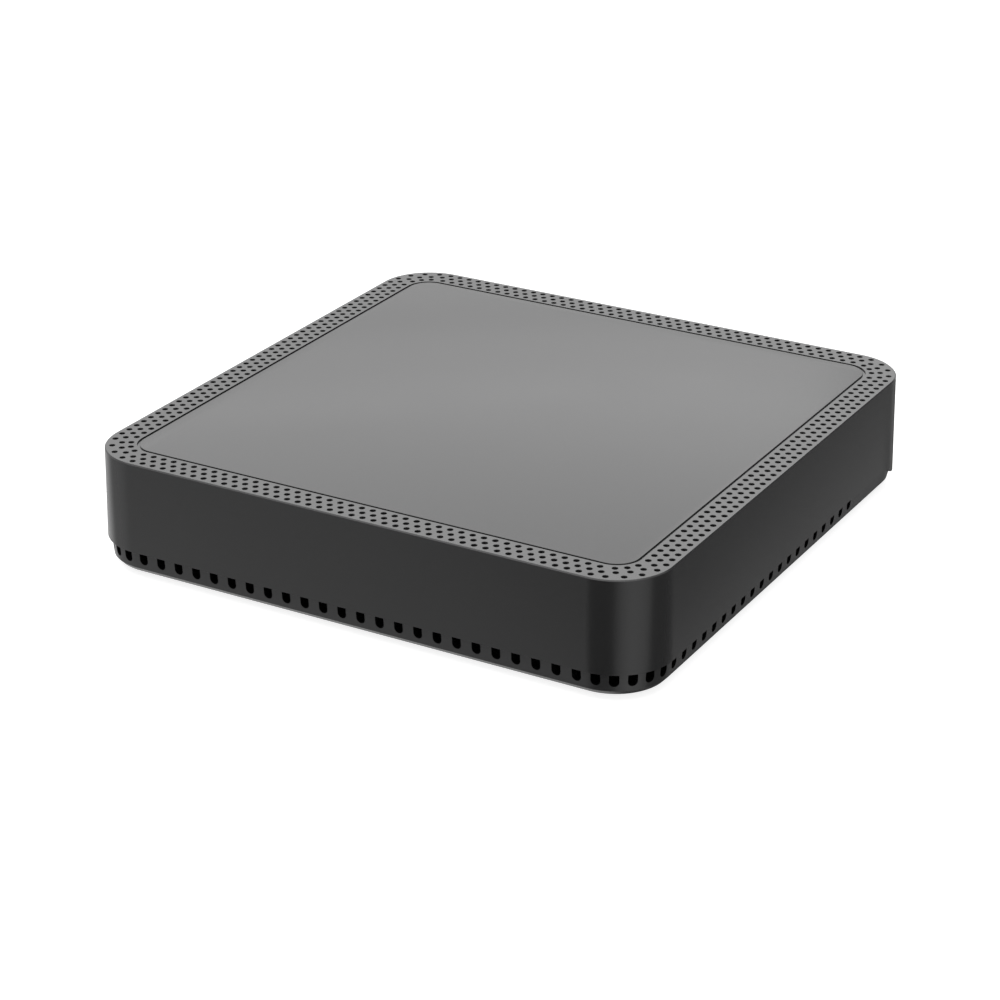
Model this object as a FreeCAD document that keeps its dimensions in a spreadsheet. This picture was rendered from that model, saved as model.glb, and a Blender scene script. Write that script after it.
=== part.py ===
import FreeCAD, Part
import math
import os
import re
import Sketcher

# Mesh wifi node: a low square puck. A charcoal cover with a perforated border and a flush top
# plate sits on a base tray with a row of vent notches. The sockets, the pair button and the
# reset button are in a recessed bay at the rear.
#
# +X is right, +Y is the rear with the sockets, +Z is up. The origin is the centre of the
# footprint, on the surface that the feet rest on. Everything is in millimetres and degrees.

SIZES = {
    # overall form
    "cover_half": 61.9,         # half the cover's width at the top
    "cover_drop": 19.2,         # top of the cover to its lower edge at the front and sides
    "base_height": 4.8,         # underside of the base to that edge
    "foot_stand": 0.8,          # how far the feet hold the base off the table
    "corner_radius": 11.62,     # at the top of the cover; all corner arcs share its centre
    "draft_angle": 1.3,         # the cover's walls lean out towards the bottom
    "skirt_drop": 2.4,          # how much lower the cover's rear wall reaches
    "skirt_lead": 4.28,         # where the lower edge starts to drop, ahead of the corner's centre
    "skirt_run": 10.0,          # length of the curve in which it drops
    "parting_gap": 0.1,         # hairline between parts that close on each other
    # cover
    "cover_wall": 2.34,
    "cover_roof": 2.2,
    "cover_edge": 0.22,         # chamfer round the top
    "cover_lower_round": 0.5,   # rounding along the outer lower edge
    # perforated border
    "vent_pitch": 2.4,
    "vent_diameter": 1.15,
    "vent_margin": 1.5,         # outer row of holes to the cover's edge
    "vent_row_step": 1.8,
    "vent_outer_arc_count": 4,  # holes of a row on its arc round a corner
    "vent_middle_arc_count": 3,
    "vent_inner_arc_count": 3,
    "vent_outer_arc_step": 19.0,  # angle from hole to hole on that arc
    "vent_middle_arc_step": 18.2,
    "vent_inner_arc_step": 19.6,
    "vent_sides": 4,            # facets of a hole, with the area of the round one
    "vent_blind_depth": 1.6,    # the outer row stands over the wall and is blind
    # flush top plate
    "border_width": 6.33,       # cover's edge to the plate's groove
    "groove_width": 0.55,
    "groove_depth": 0.28,
    "plate_thickness": 1.2,
    "plate_fit": 0.05,
    # base tray
    "base_inset": 0.7,          # how far the base stands back from the cover's top edge
    "base_wall": 2.0,
    "base_floor": 2.0,
    "base_round": 2.2,          # rounding under the outer edge
    "label_half_length": 30.0,  # shallow recess under the base for a label
    "label_half_width": 20.0,
    "label_corner": 2.0,
    "label_depth": 0.3,
    # vent notches of the base
    "notch_pitch": 4.2,
    "notch_width": 1.8,
    "notch_depth": 2.33,        # lowest point of a notch, under the cover's edge
    "notch_front_first": 1.97,  # first notch each side of the middle of the front
    "notch_side_lead": 2.58,    # front corner's centre to the foremost notch of a side
    "notch_side_blank": 21.0,   # length without notches ahead of the rear corner's centre
    "notch_corner_count": 5,
    "notch_corner_step": 18.7,  # angle from notch to notch round a corner
    # screw posts and feet
    "post_inset": 0.78,         # corner's centre to the post's, in X and in Y
    "post_radius": 3.4,
    "sleeve_radius": 4.4,
    "sleeve_height": 5.2,       # above the tray's floor
    "rib_thickness": 1.2,
    "rib_bite": 0.3,            # how far a rib runs into the wall that it joins
    "rib_reach": 5.0,           # cover's ribs beyond their posts
    "cover_rib_height": 8.0,
    "cover_screw_radius": 1.4,
    "cover_screw_length": 12.2,
    "cover_screw_head_radius": 2.7,
    "cover_screw_head_height": 2.0,
    "screw_bore_gap": 0.3,
    "screw_pilot_gap": 0.1,
    "head_bore_gap": 0.3,
    "head_seat": 2.5,           # depth of the head's bore above the foot's recess
    "foot_radius": 5.9,
    "foot_recess": 1.0,
    "foot_fit": 0.1,
    "foot_chamfer": 0.4,
    # circuit board
    "standoff_height": 2.4,
    "standoff_radius": 2.8,
    "board_thickness": 1.6,
    "board_side_gap": 15.2,     # board to the tray's wall at the sides and the front
    "board_back_gap": 0.6,      # board to the port panel
    "board_corner": 2.0,
    "board_screw_inset": 3.5,
    "board_screw_radius": 1.0,
    "board_screw_length": 3.4,
    "board_screw_head_radius": 2.4,
    "board_screw_head_height": 1.6,
    "board_screw_gap": 0.3,
    "board_pilot_gap": 0.1,
    "standoff_pilot_depth": 2.2,
    # heat spreader under the board
    "spreader_thickness": 1.0,
    "spreader_inset": 8.0,
    "under_pad_length": 30.0,
    "under_pad_width": 18.0,
    # heat sink over the board
    "sink_clearance": 3.2,      # board to the underside of the heat sink
    "sink_side_inset": 11.0,
    "sink_front_inset": 8.0,
    "sink_back_gap": 1.5,       # to the network transformers
    "sink_base": 2.0,
    "sink_top_gap": 1.6,        # fins to the cover's ceiling
    "sink_fin_thickness": 1.2,
    "sink_fin_pitch": 4.0,
    "sink_fin_gap": 2.6,        # pin heads to the outermost fins, at the least
    "sink_pin_inset": 2.6,
    "sink_pin_radius": 1.3,
    "sink_pin_gap": 0.2,
    "sink_pin_head_radius": 2.2,
    "sink_pin_head_height": 1.2,
    "sink_pin_tip": 0.8,        # how far a pin stands out under the board
    # chips
    "processor_side": 19.0,
    "processor_height": 1.4,
    "processor_lead": 22.0,     # board's front edge to the processor's middle
    "memory_gap": 3.0,
    "memory_width": 9.0,
    "memory_length": 14.0,
    "memory_height": 1.2,
    "flash_x": -8.0,
    "flash_lead": 4.0,
    "flash_width": 8.0,
    "flash_length": 6.0,
    "flash_height": 1.0,
    "crystal_x": 4.0,
    "crystal_length": 5.0,
    "crystal_width": 3.2,
    "crystal_height": 1.1,
    "radio_side": 12.0,
    "radio_height": 1.0,
    "can_width": 20.0,
    "can_length": 17.0,
    "can_height": 2.6,
    "can_sheet": 0.3,
    "pad_margin": 1.0,          # soft pads inside the edges of the chips that they touch
    # power parts
    "coil_inset": 5.0,          # board's edge to the coils' middle
    "coil_lead": 9.0,           # left aerial's lead to the front coil's middle
    "coil_step": 10.0,
    "coil_side": 7.0,
    "coil_height": 4.2,
    "capacitor_x": -8.0,
    "capacitor_step": 8.0,
    "capacitor_radius": 3.15,
    "capacitor_height": 7.7,
    # aerials
    "aerial_inset": 3.7,        # tray's wall to the middle of an aerial board
    "aerial_thickness": 0.8,
    "aerial_length": 36.0,
    "aerial_height": 16.0,
    "aerial_side_y": -5.0,
    "aerial_front_x": 22.0,
    "aerial_fit": 0.1,
    "rail_thickness": 1.2,
    "rail_height": 3.0,
    "lead_radius": 0.57,
    "lead_height": 1.4,         # lead's axis above the board
    "lead_shift": 5.0,          # sideways step of a lead on its way to the board
    "lead_plug_side": 2.6,
    "lead_plug_height": 2.2,
    "lead_plug_inset": 3.0,     # plug's middle to the board's edge
    # rear bay and its panel
    "bay_end": 8.28,            # end of the bay's window to the corner's centre
    "bay_recess": 3.1,          # tray's wall to the face of the port panel
    "bay_sill": 0.9,            # the window's lower edge under the board's top
    "bay_head": 1.2,            # the window's upper edge under the ceiling
    "bay_corner": 2.0,
    "panel_thickness": 1.8,
    "panel_overlap": 3.0,       # panel behind the ends of the window
    "collar_gap": 0.3,          # panel's collar outside the window's edges
    "panel_corner": 1.0,
    "panel_top_gap": 0.1,
    "panel_rail_height": 1.8,
    "panel_rail_inset": 4.0,
    "cutout_gap": 0.1,
    # network sockets
    "lan_end": 10.5,            # end of the bay to the middle of the last socket
    "lan_gap": 1.0,             # between the sockets
    "lan_width": 16.0,
    "lan_height": 13.4,
    "lan_depth": 21.3,
    "lan_sheet": 0.4,
    "lan_plug_width": 11.8,
    "lan_plug_height": 6.9,
    "lan_plug_depth": 12.5,
    "lan_plug_base": 4.1,       # board to the underside of the plug's space
    "lan_latch_width": 6.2,
    "lan_latch_height": 1.6,
    "lan_tongue_width": 3.3,
    "lan_tongue_height": 1.2,
    "link_light_width": 3.0,
    "link_light_height": 1.3,
    "link_light_depth": 1.2,
    "link_light_gap": 0.35,     # above the plug's space and in from its ends
    "link_light_fit": 0.05,
    "contact_pitch": 1.02,
    "contact_width": 0.45,
    "contact_thickness": 0.4,
    "contact_length": 9.0,
    "contact_slope": 8.0,
    "contact_count": 8,
    "transformer_gap": 3.3,
    "transformer_width": 12.0,
    "transformer_length": 9.0,
    "transformer_height": 5.6,
    # power inlet
    "inlet_step": 11.0,         # pair button to the inlet
    "inlet_width": 9.0,
    "inlet_height": 11.0,
    "inlet_depth": 14.4,
    "inlet_bore": 3.15,
    "inlet_bore_depth": 10.0,
    "inlet_pin": 1.0,
    "inlet_pin_length": 9.0,
    # buttons and the light
    "control_height": 5.5,      # axis of the inlet, buttons and light above the board
    "reset_end": 4.5,           # end of the bay to the reset button
    "reset_radius": 0.9,
    "reset_gap": 0.3,
    "reset_sunk": 0.8,
    "pair_step": 9.5,           # reset button to the pair button
    "pair_radius": 3.2,
    "pair_proud": 0.9,
    "pair_round": 0.4,
    "pair_gap": 0.25,
    "flange_extra": 1.0,        # flange beyond the panel's hole
    "flange_thickness": 1.0,
    "flange_gap": 0.3,
    "travel_gap": 1.6,          # flange to switch
    "plunger_radius": 1.5,
    "plunger_gap": 0.3,
    "plunger_reach": 1.2,       # plunger inside the switch
    "switch_bore_depth": 2.2,
    "switch_width": 6.2,
    "switch_depth": 5.0,
    "switch_height": 8.4,
    "light_pipe_radius": 1.1,
    "light_pipe_gap": 0.15,
    "light_pipe_leg": 3.0,
    "lamp_side": 2.0,
    "lamp_height": 1.2,
    "lamp_gap": 0.3,
}

# Places and sizes that follow from the driving ones. Heights are above the table.
FOLLOWING = {
    "cover_screw_bore": "cover_screw_radius + screw_bore_gap",
    "cover_screw_pilot": "cover_screw_radius + screw_pilot_gap",
    "head_bore_radius": "cover_screw_head_radius + head_bore_gap",
    "board_screw_bore": "board_screw_radius + board_screw_gap",
    "standoff_pilot": "board_screw_radius + board_pilot_gap",
    "sink_pin_bore": "sink_pin_radius + sink_pin_gap",
    "reset_hole": "reset_radius + reset_gap",
    "top": "foot_stand + base_height + cover_drop",
    "parting": "foot_stand + base_height",
    "ceiling": "top - cover_roof",
    "floor_top": "foot_stand + base_floor",
    "board_under": "floor_top + standoff_height",
    "board_top": "board_under + board_thickness",
    "sleeve_top": "floor_top + sleeve_height",
    "head_level": "foot_stand + foot_recess + head_seat",
    "controls": "board_top + control_height",
    "sink_under": "board_top + sink_clearance",
    "corner_centre": "cover_half - corner_radius",
    "groove_outer": "cover_half - border_width",
    "vent_outer_row": "cover_half - vent_margin",
    "base_half": "cover_half - base_inset",
    "tray_inner": "base_half - base_wall",
    "post_offset": "corner_centre - post_inset",
    "skirt_start": "corner_centre - skirt_lead",
    "aerial_offset": "tray_inner - aerial_inset",
    "panel_face": "tray_inner - bay_recess",
    "collar_face": "tray_inner - parting_gap",
    "panel_back": "panel_face - panel_thickness",
    "board_half": "tray_inner - board_side_gap",
    "board_back": "panel_back - board_back_gap",
    "board_screw_side": "board_half - board_screw_inset",
    "board_screw_back": "transformer_y + transformer_length / 2 - board_screw_radius / 2",
    "transformer_y": "panel_face - lan_depth - transformer_gap - transformer_length / 2",
    "spreader_half": "board_half - spreader_inset",
    "spreader_back": "board_screw_back + board_screw_radius",
    "sink_half": "board_half - sink_side_inset",
    "sink_front": "board_half - sink_front_inset",
    "sink_fin_reach": "sink_half - sink_pin_inset - sink_pin_head_radius - sink_fin_gap",
    "sink_fin_count": "2 * floor(sink_fin_reach / sink_fin_pitch) + 1",
    "sink_back": "transformer_y - transformer_length / 2 - sink_back_gap",
    "processor_y": "processor_lead - board_half",
    "memory_x": "(processor_side + memory_width) / 2 + memory_gap",
    "flash_y": "flash_lead - board_half",
    "radio_x": "sink_half / 2 - sink_pin_inset",
    "radio_y": "(processor_y + processor_side / 2 + sink_back) / 2",
    "coil_x": "coil_inset - board_half",
    "coil_y": "aerial_side_y + coil_lead",
    "capacitor_y": "transformer_y",
    "bay_half": "corner_centre - bay_end",
    "bay_bottom": "board_top - bay_sill",
    "bay_top": "ceiling - bay_head",
    "panel_half": "bay_half + panel_overlap",
    "panel_rail_half": "bay_half - panel_rail_inset",
    "lan_last_x": "bay_half - lan_end",
    "lan_step": "lan_width + lan_gap",
    "lan_first_x": "lan_last_x - lan_step",
    "reset_x": "reset_end - bay_half",
    "pair_x": "reset_x + pair_step",
    "inlet_x": "pair_x + inlet_step",
    "light_x": "(inlet_x + inlet_width / 2 + lan_first_x - lan_width / 2) / 2",
    "flange_back": "panel_back - flange_gap - flange_thickness",
    "switch_face": "flange_back - travel_gap",
    "lamp_y": "panel_back - light_pipe_leg",
}

doc = FreeCAD.newDocument("mesh_wifi_node")
sheet = doc.addObject("Spreadsheet::Sheet", "Sizes")
for row, (name, size) in enumerate(SIZES.items(), start=1):
    sheet.set("A%d" % row, name)
    sheet.set("B%d" % row, str(size))
    sheet.setAlias("B%d" % row, name)
doc.recompute()

nodes = []


# ---------------------------------------------------------------- expressions and placement

def qualified(expression):
    """Write the sheet's name before every size, and write out what follows from the sizes."""
    def written_out(match):
        word = match.group(0)
        if word in FOLLOWING:
            return "(%s)" % qualified(FOLLOWING[word])
        return "Sizes." + word if word in SIZES else word
    return re.sub(r"[a-z][a-z_]*", written_out, expression)


def bind(target, path, expression):
    target.setExpression(path, qualified(expression))


def number(expression):
    return float(sheet.evalExpression(qualified(expression)))


def place(target, x="0", y="0", z="0"):
    for axis, expression in (("x", x), ("y", y), ("z", z)):
        bind(target, "Placement.Base." + axis, expression)


def node(target, label):
    """Give the finished sub-part its label and keep it for export."""
    target.Label = label
    nodes.append(target)
    return target


# ---------------------------------------------------------------- sketches

def datum(body, role):
    return next(item for item in body.Origin.OriginFeatures if item.Role == role)


def new_body(name):
    body = doc.addObject("PartDesign::Body", name + "_body")
    body.AllowCompound = True
    return body


def new_sketch(body, name, role, offset="0", turn=0):
    """A sketch on one of the body's own origin planes, moved along its normal."""
    sketch = body.newObject("Sketcher::SketchObject", name)
    sketch.AttachmentSupport = [(datum(body, role), "")]
    sketch.MapMode = "FlatFace"
    sketch.AttachmentOffset = FreeCAD.Placement(
        FreeCAD.Vector(0, 0, 0), FreeCAD.Rotation(FreeCAD.Vector(0, 0, 1), turn))
    bind(sketch, "AttachmentOffset.Base.z", offset)
    return sketch


def fix(sketch, edge, end, kind, expression):
    """Set one coordinate of a point, from the sketch's origin."""
    distance = number(expression)
    if abs(distance) < 1e-9:
        axis = -2 if kind == "DistanceX" else -1
        sketch.addConstraint(Sketcher.Constraint("PointOnObject", edge, end, axis))
    elif distance > 0:
        index = sketch.addConstraint(Sketcher.Constraint(kind, -1, 1, edge, end, distance))
        bind(sketch, "Constraints[%d]" % index, expression)
    else:
        index = sketch.addConstraint(Sketcher.Constraint(kind, edge, end, -1, 1, -distance))
        bind(sketch, "Constraints[%d]" % index, "-(%s)" % expression)


def polygon(sketch, corners):
    """A closed outline of straight edges; each corner is a pair of expressions."""
    first = sketch.GeometryCount
    count = len(corners)
    points = [FreeCAD.Vector(number(x), number(y), 0) for x, y in corners]
    for index in range(count):
        sketch.addGeometry(Part.LineSegment(points[index], points[(index + 1) % count]))
    for index in range(count):
        following = first + (index + 1) % count
        sketch.addConstraint(Sketcher.Constraint("Coincident", first + index, 2, following, 1))
    for index, (x, y) in enumerate(corners):
        fix(sketch, first + index, 1, "DistanceX", x)
        fix(sketch, first + index, 1, "DistanceY", y)


def rectangle(sketch, left, right, bottom, top):
    polygon(sketch, [(left, bottom), (right, bottom), (right, top), (left, top)])


def circle(sketch, radius, x="0", y="0"):
    index = sketch.addGeometry(Part.Circle(FreeCAD.Vector(number(x), number(y), 0),
                                           FreeCAD.Vector(0, 0, 1), number(radius)))
    fix(sketch, index, 3, "DistanceX", x)
    fix(sketch, index, 3, "DistanceY", y)
    size = sketch.addConstraint(Sketcher.Constraint("Radius", index, number(radius)))
    bind(sketch, "Constraints[%d]" % size, radius)


def rounded_rectangle(sketch, half_x, half_y, radius, x="0", y="0"):
    """Four lines and four equal arcs, tangent to each other."""
    first = sketch.GeometryCount
    middle = FreeCAD.Vector(number(x), number(y), 0)
    wide, high, round_off = number(half_x), number(half_y), number(radius)
    signs = [(-1, -1), (1, -1), (1, 1), (-1, 1)]
    centres = [middle + FreeCAD.Vector(sx * (wide - round_off), sy * (high - round_off), 0)
               for sx, sy in signs]
    for index, centre in enumerate(centres):
        arc = Part.ArcOfCircle(Part.Circle(centre, FreeCAD.Vector(0, 0, 1), round_off),
                               math.radians(180 + 90 * index), math.radians(270 + 90 * index))
        sketch.addGeometry(arc)
    for index in range(4):
        out = FreeCAD.Rotation(FreeCAD.Vector(0, 0, 1), 90 * index).multVec(
            FreeCAD.Vector(0, -round_off, 0))
        sketch.addGeometry(Part.LineSegment(centres[index] + out, centres[(index + 1) % 4] + out))
    for index in range(4):
        line = first + 4 + index
        sketch.addConstraint(Sketcher.Constraint("Tangent", first + index, 2, line, 1))
        sketch.addConstraint(Sketcher.Constraint("Tangent", line, 2, first + (index + 1) % 4, 1))
        direction = "Horizontal" if index % 2 == 0 else "Vertical"
        sketch.addConstraint(Sketcher.Constraint(direction, line))
    for index in range(1, 4):
        sketch.addConstraint(Sketcher.Constraint("Equal", first, first + index))
    size = sketch.addConstraint(Sketcher.Constraint("Radius", first, round_off))
    bind(sketch, "Constraints[%d]" % size, radius)
    fix(sketch, first + 4, 1, "DistanceY", "%s - (%s)" % (y, half_y))
    fix(sketch, first + 5, 1, "DistanceX", "%s + (%s)" % (x, half_x))
    fix(sketch, first + 6, 1, "DistanceY", "%s + (%s)" % (y, half_y))
    fix(sketch, first + 7, 1, "DistanceX", "%s - (%s)" % (x, half_x))


def parting_profile(sketch, level, outside):
    """Region beyond the stepped parting line of cover and base, seen from the side.

    The line is level to skirt_start, then drops by skirt_drop in two equal arcs. outside is
    the height of the region's other, level side.
    """
    radius = "((skirt_run^2 + skirt_drop^2) / (4 * skirt_drop))"
    end = "(skirt_start + skirt_run)"
    low = "(%s - skirt_drop)" % level
    start_y, end_y = number("skirt_start"), number(end)
    high_z, low_z, round_off = number(level), number(low), number(radius)
    swing = math.asin((end_y - start_y) / 2 / round_off)
    upright = math.pi / 2
    axis = FreeCAD.Vector(0, 0, 1)
    points = [FreeCAD.Vector(number("-2 * cover_half"), high_z, 0),
              FreeCAD.Vector(start_y, high_z, 0),
              FreeCAD.Vector(end_y, low_z, 0),
              FreeCAD.Vector(number("2 * cover_half"), low_z, 0),
              FreeCAD.Vector(number("2 * cover_half"), number(outside), 0),
              FreeCAD.Vector(number("-2 * cover_half"), number(outside), 0)]
    falling = Part.ArcOfCircle(Part.Circle(FreeCAD.Vector(start_y, high_z - round_off, 0), axis,
                                           round_off), upright - swing, upright)
    levelling = Part.ArcOfCircle(Part.Circle(FreeCAD.Vector(end_y, low_z + round_off, 0), axis,
                                             round_off), 3 * upright - swing, 3 * upright)
    for piece in (Part.LineSegment(points[0], points[1]), falling, levelling,
                  Part.LineSegment(points[2], points[3]), Part.LineSegment(points[3], points[4]),
                  Part.LineSegment(points[4], points[5]), Part.LineSegment(points[5], points[0])):
        sketch.addGeometry(piece)
    for constraint in (("Tangent", 0, 2, 1, 2), ("Tangent", 1, 1, 2, 1), ("Tangent", 2, 2, 3, 1),
                       ("Equal", 1, 2), ("Coincident", 3, 2, 4, 1), ("Coincident", 4, 2, 5, 1),
                       ("Coincident", 5, 2, 6, 1), ("Coincident", 6, 2, 0, 1),
                       ("Horizontal", 0), ("Horizontal", 3), ("Vertical", 4),
                       ("Horizontal", 5), ("Vertical", 6)):
        sketch.addConstraint(Sketcher.Constraint(*constraint))
    fix(sketch, 0, 2, "DistanceX", "skirt_start")
    fix(sketch, 0, 2, "DistanceY", level)
    fix(sketch, 3, 1, "DistanceX", end)
    fix(sketch, 3, 1, "DistanceY", low)
    fix(sketch, 4, 1, "DistanceX", "2 * cover_half")
    fix(sketch, 5, 1, "DistanceY", outside)
    fix(sketch, 6, 1, "DistanceX", "-2 * cover_half")


# ---------------------------------------------------------------- features

def pad(body, name, sketch, length, reverse=False, taper=None):
    feature = body.newObject("PartDesign::Pad", name)
    feature.Profile = sketch
    feature.Reversed = reverse
    bind(feature, "Length", length)
    if taper:
        bind(feature, "TaperAngle", taper)
    return feature


def pocket(body, name, sketch, length, reverse=False, taper=None, both_ways=False):
    feature = body.newObject("PartDesign::Pocket", name)
    feature.Profile = sketch
    feature.Reversed = reverse
    feature.Midplane = both_ways
    bind(feature, "Length", length)
    if taper:
        bind(feature, "TaperAngle", taper)
    return feature


def four_round(body, name, originals):
    """Repeat features at the four corners, round the vertical axis."""
    feature = body.newObject("PartDesign::PolarPattern", name)
    feature.Originals = originals
    feature.Axis = (datum(body, "Z_Axis"), [""])
    feature.Angle = 360
    feature.Occurrences = 4
    body.Tip = feature
    return feature


def in_line(body, name, originals, role, length, count):
    feature = body.newObject("PartDesign::LinearPattern", name)
    feature.Originals = originals
    feature.Direction = (datum(body, role), [""])
    bind(feature, "Length", length)
    bind(feature, "Occurrences", count)
    body.Tip = feature
    return feature


def edges_between(feature, low, high, reach=0):
    """Edges of a feature between two heights, further than reach from the corner centres' square."""
    names = []
    centre = number("corner_centre")
    margin = 1e-4
    for index, edge in enumerate(feature.Shape.Edges, start=1):
        box = edge.BoundBox
        middle = edge.valueAt((edge.FirstParameter + edge.LastParameter) / 2)
        out = math.hypot(max(abs(middle.x) - centre, 0), max(abs(middle.y) - centre, 0))
        if box.ZMin > low - margin and box.ZMax < high + margin and out >= reach:
            names.append("Edge%d" % index)
    return names


def dress(body, kind, name, feature, edges, size):
    """Fillet or chamfer some edges of a feature."""
    finish = body.newObject("PartDesign::" + kind, name)
    finish.Base = (feature, edges)
    bind(finish, "Radius" if kind == "Fillet" else "Size", size)
    return finish


# ---------------------------------------------------------------- plain solids

def block(name, length, width, height, x, y, z):
    """A box centred on x and y, standing on z."""
    box = doc.addObject("Part::Box", name)
    bind(box, "Length", length)
    bind(box, "Width", width)
    bind(box, "Height", height)
    place(box, "%s - (%s) / 2" % (x, length), "%s - (%s) / 2" % (y, width), z)
    return box


def rod(name, radius, length, x, y, z, rearward=False):
    """A cylinder upwards from its foot, or towards the rear."""
    cylinder = doc.addObject("Part::Cylinder", name)
    bind(cylinder, "Radius", radius)
    bind(cylinder, "Height", length)
    if rearward:
        cylinder.Placement = FreeCAD.Placement(
            FreeCAD.Vector(0, 0, 0), FreeCAD.Rotation(FreeCAD.Vector(1, 0, 0), -90))
    place(cylinder, x, y, z)
    return cylinder


def cut(name, base, tool):
    result = doc.addObject("Part::Cut", name)
    result.Base = base
    result.Tool = tool
    return result


def fuse(name, pieces):
    result = doc.addObject("Part::MultiFuse", name)
    result.Shapes = pieces
    return result


def group(name, pieces):
    """Separate solids in one node."""
    result = doc.addObject("Part::Compound", name)
    result.Links = pieces
    return result


def shape_feature(name, shape):
    feature = doc.addObject("Part::Feature", name)
    feature.Shape = shape
    return feature


# ---------------------------------------------------------------- cover and top plate

def half_at(depth):
    """Half the cover's outer width at a depth under its top."""
    return "(cover_half + tan(draft_angle) * (%s))" % depth


def vent_positions():
    """Centre and depth of every hole: three staggered rows a side, and arcs at the corners."""
    pitch, centre = number("vent_pitch"), number("corner_centre")
    straight = round(2 * centre / pitch) + 1
    through = number("2 * cover_roof")
    rows = [("outer", straight, number("vent_blind_depth")),
            ("middle", straight + 1, through),
            ("inner", straight, through)]
    for row, (name, count, depth) in enumerate(rows):
        offset = number("vent_outer_row") - row * number("vent_row_step")
        corner_count = round(number("vent_%s_arc_count" % name))
        corner_step = number("vent_%s_arc_step" % name)
        side = [FreeCAD.Vector((index - (count - 1) / 2) * pitch, -offset, 0)
                for index in range(count)]
        for index in range(corner_count):
            angle = math.radians(-45 + (index - (corner_count - 1) / 2) * corner_step)
            reach = offset - centre
            side.append(FreeCAD.Vector(centre + reach * math.cos(angle),
                                       -centre + reach * math.sin(angle), 0))
        for quarter in range(4):
            turn = FreeCAD.Rotation(FreeCAD.Vector(0, 0, 1), 90 * quarter)
            for position in side:
                yield turn.multVec(position), depth


def vent_cutter(position, depth):
    """An upright prism with the cross-section area of the round hole."""
    sides = round(number("vent_sides"))
    area = math.pi * number("vent_diameter") ** 2 / 4
    reach = math.sqrt(2 * area / (sides * math.sin(2 * math.pi / sides)))
    top = number("top")
    rim = [FreeCAD.Vector(position.x + reach * math.cos(2 * math.pi * index / sides),
                          position.y + reach * math.sin(2 * math.pi * index / sides), top + 1)
           for index in range(sides)]
    face = Part.Face(Part.makePolygon(rim + rim[:1]))
    return face.extrude(FreeCAD.Vector(0, 0, -depth - 1))


def make_top_cover():
    body = new_body("cover")
    outline = new_sketch(body, "cover_outline", "XY_Plane", "top")
    rounded_rectangle(outline, "cover_half", "cover_half", "cover_half - corner_centre")
    outer = pad(body, "cover_outer", outline, "cover_drop + skirt_drop", reverse=True,
                taper="draft_angle")
    doc.recompute()
    dress(body, "Chamfer", "cover_rim", outer, edges_between(outer, number("top"), number("top")),
          "cover_edge")

    inner = half_at("cover_roof") + " - cover_wall"
    hollow = new_sketch(body, "cover_hollow", "XY_Plane", "ceiling")
    rounded_rectangle(hollow, inner, inner, inner + " - corner_centre")
    pocket(body, "cover_inside", hollow, "cover_drop + skirt_drop", taper="draft_angle")

    lower = new_sketch(body, "cover_lower_edge", "YZ_Plane")
    parting_profile(lower, "parting", "-cover_drop")
    trimmed = pocket(body, "cover_edge_cut", lower, "4 * cover_half", both_ways=True)
    doc.recompute()
    low_edge = edges_between(trimmed, number("parting - skirt_drop"), number("parting"),
                             number("corner_radius"))
    dress(body, "Fillet", "cover_lower_round", trimmed, low_edge, "cover_lower_round")

    seat = new_sketch(body, "plate_seat", "XY_Plane", "top")
    rounded_rectangle(seat, "groove_outer", "groove_outer", "groove_outer - corner_centre")
    pocket(body, "plate_recess", seat, "plate_thickness")

    bay = new_sketch(body, "bay_outline", "XZ_Plane", "-(cover_half + cover_wall)")
    rounded_rectangle(bay, "bay_half", "(bay_top - bay_bottom) / 2", "bay_corner", "0",
                      "(bay_top + bay_bottom) / 2")
    pocket(body, "bay_window", bay, "3 * cover_wall", reverse=True)

    post = new_sketch(body, "post_outline", "XY_Plane", "ceiling")
    circle(post, "post_radius", "post_offset", "post_offset")
    post_pad = pad(body, "cover_post", post, "ceiling - sleeve_top - parting_gap", reverse=True)
    rib = new_sketch(body, "post_rib_outline", "XY_Plane", "ceiling", turn=45)
    rectangle(rib, "sqrt(2) * post_offset - post_radius - rib_reach",
              "sqrt(2) * post_offset - cover_screw_pilot - rib_bite",
              "-rib_thickness / 2", "rib_thickness / 2")
    rib_pad = pad(body, "cover_post_rib", rib, "cover_rib_height", reverse=True)
    pilot = new_sketch(body, "pilot_outline", "XY_Plane", "sleeve_top")
    circle(pilot, "cover_screw_pilot", "post_offset", "post_offset")
    pilot_cut = pocket(body, "post_pilot", pilot, "cover_screw_length", reverse=True)
    four_round(body, "cover_posts", [post_pad, rib_pad, pilot_cut])

    holes = Part.makeCompound([vent_cutter(*vent) for vent in vent_positions()])
    node(cut("cover", body, shape_feature("vent_cutters", holes)), "top_cover")


def make_top_plate():
    body = new_body("plate")
    outline = new_sketch(body, "plate_outline", "XY_Plane", "top")
    edge = "(groove_outer - plate_fit)"
    rounded_rectangle(outline, edge, edge, edge + " - corner_centre")
    pad(body, "plate", outline, "plate_thickness", reverse=True)
    groove = new_sketch(body, "groove_outline", "XY_Plane", "top")
    inner = "(groove_outer - groove_width)"
    outer = "(groove_outer + groove_width)"
    rounded_rectangle(groove, outer, outer, outer + " - corner_centre")
    rounded_rectangle(groove, inner, inner, inner + " - corner_centre")
    pocket(body, "groove", groove, "groove_depth")
    node(body, "top_plate")


# ---------------------------------------------------------------- base tray, feet and screws

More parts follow.
